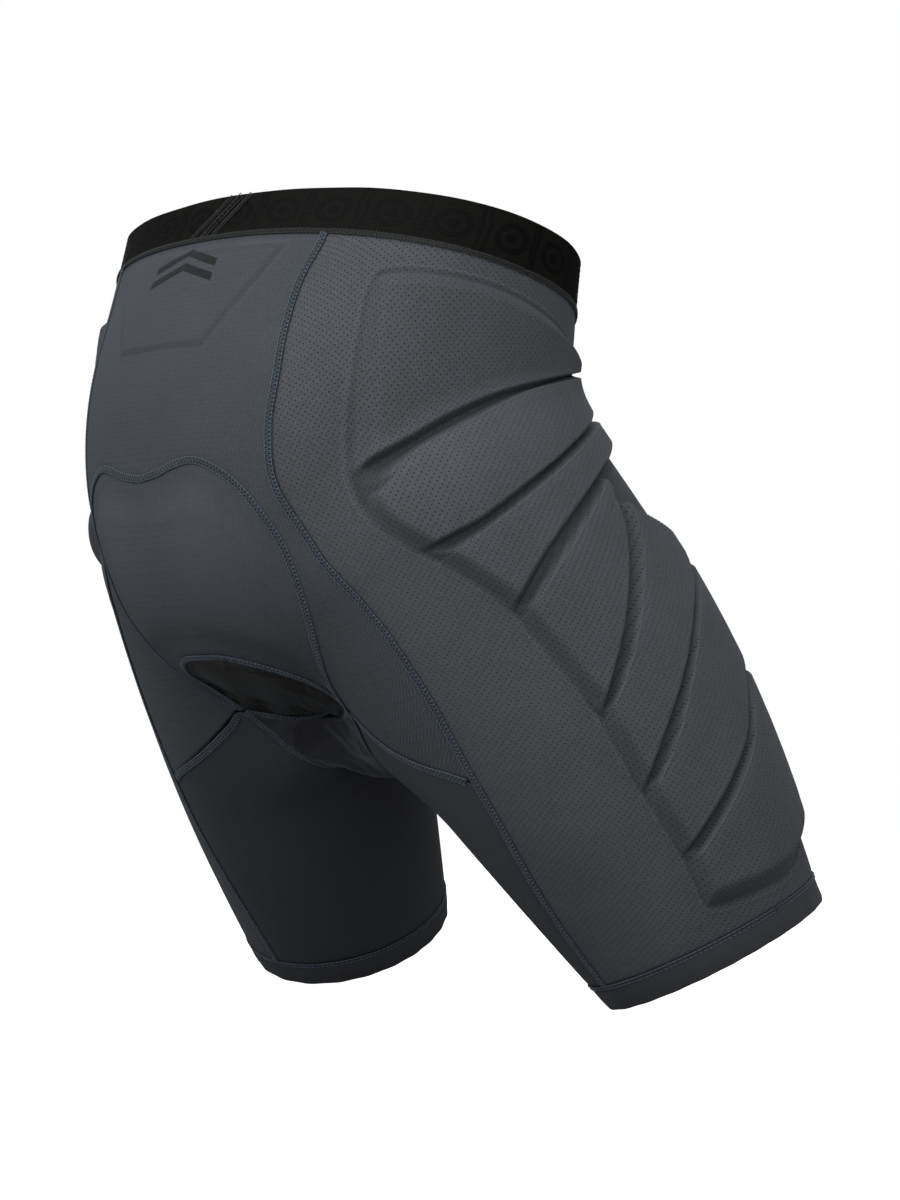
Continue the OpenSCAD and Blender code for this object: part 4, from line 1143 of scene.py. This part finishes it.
def make_seams():
    def middle_line(table, end, n):
        return settle(both_sides(curve_at(table, np.linspace(0, end, n))), 3)

    flatlock("back_seam", settle(seam_line(REAR_SEAM, 0.0722, HEM_K - 0.0005, 400), 3), True)
    flatlock("front_seam", settle(seam_line(FRONT_SEAM, FRONT_TOP_K + 0.003, HEM_K - 0.0005, 400), 3), True)
    flatlock("seat_seam", middle_line(SEAT_LINE, 0.985, 240))
    flatlock("gusset_seam", middle_line(GUSSET_LINE, 0.97, 120), half=1.5)
    flatlock("cross_seam", middle_line(CROSS_LINE, 0.97, 60), half=1.5)
    flatlock("pouch_seam", settle(pouch_edge(np.linspace(0.005, 0.985, 400)), 3), True, half=1.4)
    a = np.linspace(85.2, 123, 80)
    flatlock("thigh_seam", chart(a, value_at(LEG_TOP, a) - 0.001), True, half=1.8)
    u = np.linspace(0.07, 0.97, 120)[:, None]
    q = np.array(FORK_PT) * (1 - u) + np.array(FRONT_LOW_PT) * u
    flatlock("front_thigh_seam", chart(q[:, 0], q[:, 1]), True, half=1.8)
    flatlock("waist_seam", settle(trunk_pt(EDGE_S - GAP / 2, np.arange(720) * 0.5), 3), half=1.2, lift=0.4,
             closed=True, cell=2.0, radius=0.24, mats=[M_OLIVE, M_BLACK])
    make_hem_stitches()
    make_bartack()
    make_pad_stitches()


def make_hem_stitches():
    """Coverstitch of the hem: two parallel rows of short stitches over the join."""
    a = np.arange(0, 361, 1.0)
    p, n = chart(a, np.full(len(a), HEM_K))
    q, m = resample(p, n, 1.5)
    th = Threads()
    ridge(th, q[:-1], m[:-1], 1.35, 0.35, True, 0.62)
    for offset in (-0.95, 0.95):
        running_stitch(th, p, n, offset)
    for side, flip in SIDES:
        ob = th.build(f"hem_stitch_{side}_cover", [M_THREAD, M_RIDGE], flip)
        finish_piece(ob, f"hem_stitch_{side}")


def make_bartack():
    """The waistband's closing stitches: a dense slanting zigzag, with two short rows beside it."""
    th = Threads()
    f = np.linspace(0, 1, 60)
    for shift, swing in ((-2.6, 0.9), (0.0, 1.7), (2.6, 0.9)):
        p = trunk_pt(0.6 + (BAND - 1.0) * f, 82.5 + 6.5 * f + shift)
        q, m = resample(p, unit(slope(p)), 0.8)
        side = across_line(q, m)
        jag = swing * (1 + 0.25 * np.sin(np.arange(len(q)) * 1.7))[:, None]
        th.tube(q + side * (zigzag(len(q)) * jag) + m * 0.55, m, 0.36, 5)
        for way in (1, -1):
            th.tube(q + side * (way * (swing + 0.4)) + m * 0.4, m, 0.3, 5)
    finish_piece(th.build("waistband_bartack_zigzag", [M_BLACK]), "waistband_bartack")


def dash_line(th, loop):
    """Short bonded stitches along a line of the flat chart, lying on the side panel."""
    step, run, radius, lift = 2.3, 1.5, 0.24, 0.14
    d = lengths(loop)
    at = np.arange(0, d[-1] - run, step)[:, None] + np.array([0, run / 2, run])
    q = np.stack([np.interp(at, d, loop[:, j]) for j in (0, 1)], -1) / FLAT_MM
    p, n = chart(q[..., 0], q[..., 1])
    p = p + n * (relief(q[..., 0], q[..., 1])[0] + np.array([-0.1, lift, -0.1]))[..., None]
    for a, b in zip(p, n):
        th.tube(a, b, radius)


def make_pad_stitches():
    """Fine broken line round the padded field, and along the upper edge of each lower segment."""
    t = np.linspace(0, 1, 60)
    lines = [np.concatenate([FIELD, FIELD[:1]])]
    lower = "hip_pad_middle", "hip_pad_lower", "thigh_pad_2", "thigh_pad_3", "thigh_pad_4"
    lines += [flat(curve_at(PADS[name][0], t)) for name in lower]
    rear, front = PADS["thigh_pad_1"]
    lines += [flat([rear[0], front[0]])]
    th = Threads()
    for line in lines:
        dash_line(th, line)
    for side, flip in SIDES:
        ob = th.build(f"pad_outline_{side}_stitches", [M_CREASE], flip)
        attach(ob, "root")


# ---------------------------------------------------------------- inner pads of the back
def tail_grid(grow, rows, cols):
    """Points of the tailbone pad, its outline grown by grow."""
    (_, high), (_, low) = TAIL_SHAPE[0], TAIL_SHAPE[-1]
    t = np.linspace(0, 1, rows)
    s = high + (low - high) * t + grow * (2 * t - 1)
    x = (curve_at(TAIL_SHAPE, t)[:, :1] + grow) * np.linspace(-1, 1, cols)[None]
    start = s[:, None, None] * WAIST_DOWN + np.stack([x, 125 - 0.0035 * x * x, 0 * x], -1)
    return settle(start, 5)


def seat_grid(reach, rows, cols, lo, hi=0.88):
    """Points of the seat pad, between shares lo and hi of the seat panel."""
    a = both_sides(curve_at(SEAT_LINE, np.linspace(0, reach, cols)))
    b = both_sides(curve_at(GUSSET_LINE, np.linspace(0, reach, cols)))
    v = np.linspace(lo, hi, rows)[:, None, None]
    return settle(a[None] + (b - a)[None] * v, 4)


def rounded(p, lo, hi, rim):
    """Heights of a pad with a rounded rim: full in the middle, thin at the edge."""
    f = np.sqrt(1 - (1 - np.clip(edge_distance(p, "lrtb") / rim, 0, 1)) ** 2)[..., None]
    half = (hi - lo) / 2 * (0.25 + 0.75 * f)
    return (lo + hi) / 2 + half, (lo + hi) / 2 - half


def make_back_pads():
    tail, seat = tail_grid(-2, 30, 60), seat_grid(0.74, 30, 50, 0.16)
    for node, (p, n), lo in (("tailbone_pad", tail, -7), ("seat_pad", seat, -9)):
        top, bottom = rounded(p, lo, -2, 8)
        foam_piece(f"{node}_foam", node, p + n * top, p + n * bottom, n)
    cloth_piece("tailbone_pocket_knit", "tailbone_pocket", *tail_grid(4, 40, 70), M_LINING, "lining", lo=-8.6,
                hi=-7.6)
    cloth_piece("seat_pad_cover_knit", "seat_pad_cover", *seat_grid(0.78, 40, 60, 0.1), M_LINING, "lining",
                lo=-10.9, hi=-9.9)


# ---------------------------------------------------------------- camera, light and floor
def look_at(ob, at, target):
    ob.location = at
    ob.rotation_euler = (Vector(target) - Vector(at)).to_track_quat("-Z", "Y").to_euler()


def direction(azimuth, elevation):
    a, e = rad(azimuth), rad(elevation)
    return np.array([sin(a) * cos(e), -cos(a) * cos(e), sin(e)])


def make_camera():
    target = np.array([-40.2, -44.2, -198.2]) * MM
    cam = bpy.data.cameras.new("camera")
    cam.sensor_fit = "VERTICAL"
    cam.sensor_height = 36
    cam.lens = 102.27
    cam.clip_end = 60
    ob = place("camera", cam)
    look_at(ob, target + direction(229.5, -2.45) * 1.95, target)
    bpy.context.scene.camera = ob


def area_light(name, azimuth, elevation, distance, aim, size, power):
    """A lamp at a direction and distance from a point 0.2 m below the waist, turned to a point aim metres
    below the waist."""
    lamp = bpy.data.lights.new(name, "AREA")
    lamp.shape = "RECTANGLE"
    lamp.size, lamp.size_y = size
    lamp.energy = power
    at = direction(azimuth, elevation) * distance - np.array([0, 0, 0.2])
    look_at(place(name, lamp), at, (0, 0, -aim))


def make_world():
    """White studio surround: bright to look at, dim as a light, so that the lamps shape the cloth."""
    world = bpy.data.worlds.new("studio")
    world.use_nodes = True
    tree = world.node_tree
    bg = tree.nodes["Background"]
    bg.inputs[0].default_value = (1, 1, 1, 1)
    path, mix = tree.nodes.new("ShaderNodeLightPath"), tree.nodes.new("ShaderNodeMapRange")
    mix.inputs["To Min"].default_value, mix.inputs["To Max"].default_value = 0.08, 1.0
    tree.links.new(path.outputs["Is Camera Ray"], mix.inputs["Value"])
    tree.links.new(mix.outputs[0], bg.inputs[1])
    bpy.context.scene.world = world
    bpy.context.scene.view_settings.view_transform = "Standard"


def make_floor():
    """Pale round floor just under the hems. It reflects less light than it shows, as a floor far below
    would."""
    low, n, r = CAD_BOX[0][2] - 0.0025, 64, 9.0
    ang = np.arange(n) * 2 * PI / n
    verts = np.stack([np.cos(ang) * r, np.sin(ang) * r, np.full(n, low)], -1)
    mesh = bpy.data.meshes.new("floor")
    mesh.from_pydata(verts.tolist(), [], [list(range(n))])
    g = Graph("floor_pale")
    tone = g.colour_mix(g.noise(g.object_coords(), 3.0, 2.0), (0.86, 0.86, 0.86), (0.92, 0.92, 0.92))
    g.finish(tone, 0.9, 0.0, 0.1)
    g.fill(g.bsdf, {"Emission Color": (1, 1, 1), "Emission Strength": 0.93})
    seen = g.add("ShaderNodeLightPath", {}).outputs["Is Camera Ray"]
    dim = g.add("ShaderNodeBsdfDiffuse", {"Color": (0.16, 0.16, 0.16)}).outputs[0]
    mix = g.add("ShaderNodeMixShader", {0: seen, 1: dim, 2: g.bsdf.outputs[0]})
    g.fill(g.out, {"Surface": mix.outputs[0]})
    mesh.materials.append(g.mat)
    place("floor", mesh)


def make_lights():
    area_light("top", 215, 80, 1.9, 0.2, (1.6, 1.6), 10)
    area_light("front_high", 232, 34, 1.5, 0.12, (1.2, 1.2), 4.5)
    area_light("front", 232, 11, 1.5, 0.1, (1.2, 1.2), 9)
    area_light("right_high", 285, 45, 2.0, 0.2, (1.2, 1.2), 5)
    area_light("left_high", 170, 42, 2.0, 0.2, (1.2, 1.2), 7)
    area_light("left", 175, 17, 1.9, 0.2, (1.0, 1.0), 6)
    area_light("far_side", 50, 32, 2.3, 0.2, (1.6, 1.6), 16)
    area_light("right_rim", 330, 14, 2.2, 0.2, (0.8, 1.6), 2)
    area_light("left_rim", 125, 14, 2.2, 0.2, (0.8, 1.6), 2)


make_camera()
make_world()
make_floor()
make_lights()
make_side_panels()
make_linings()
make_foam()
make_back_panel()
make_seat_panel()
make_gusset()
make_pouch()
make_front_panels()
make_leg_panels()
make_hems()
make_waistband()
make_back_pads()
make_seams()
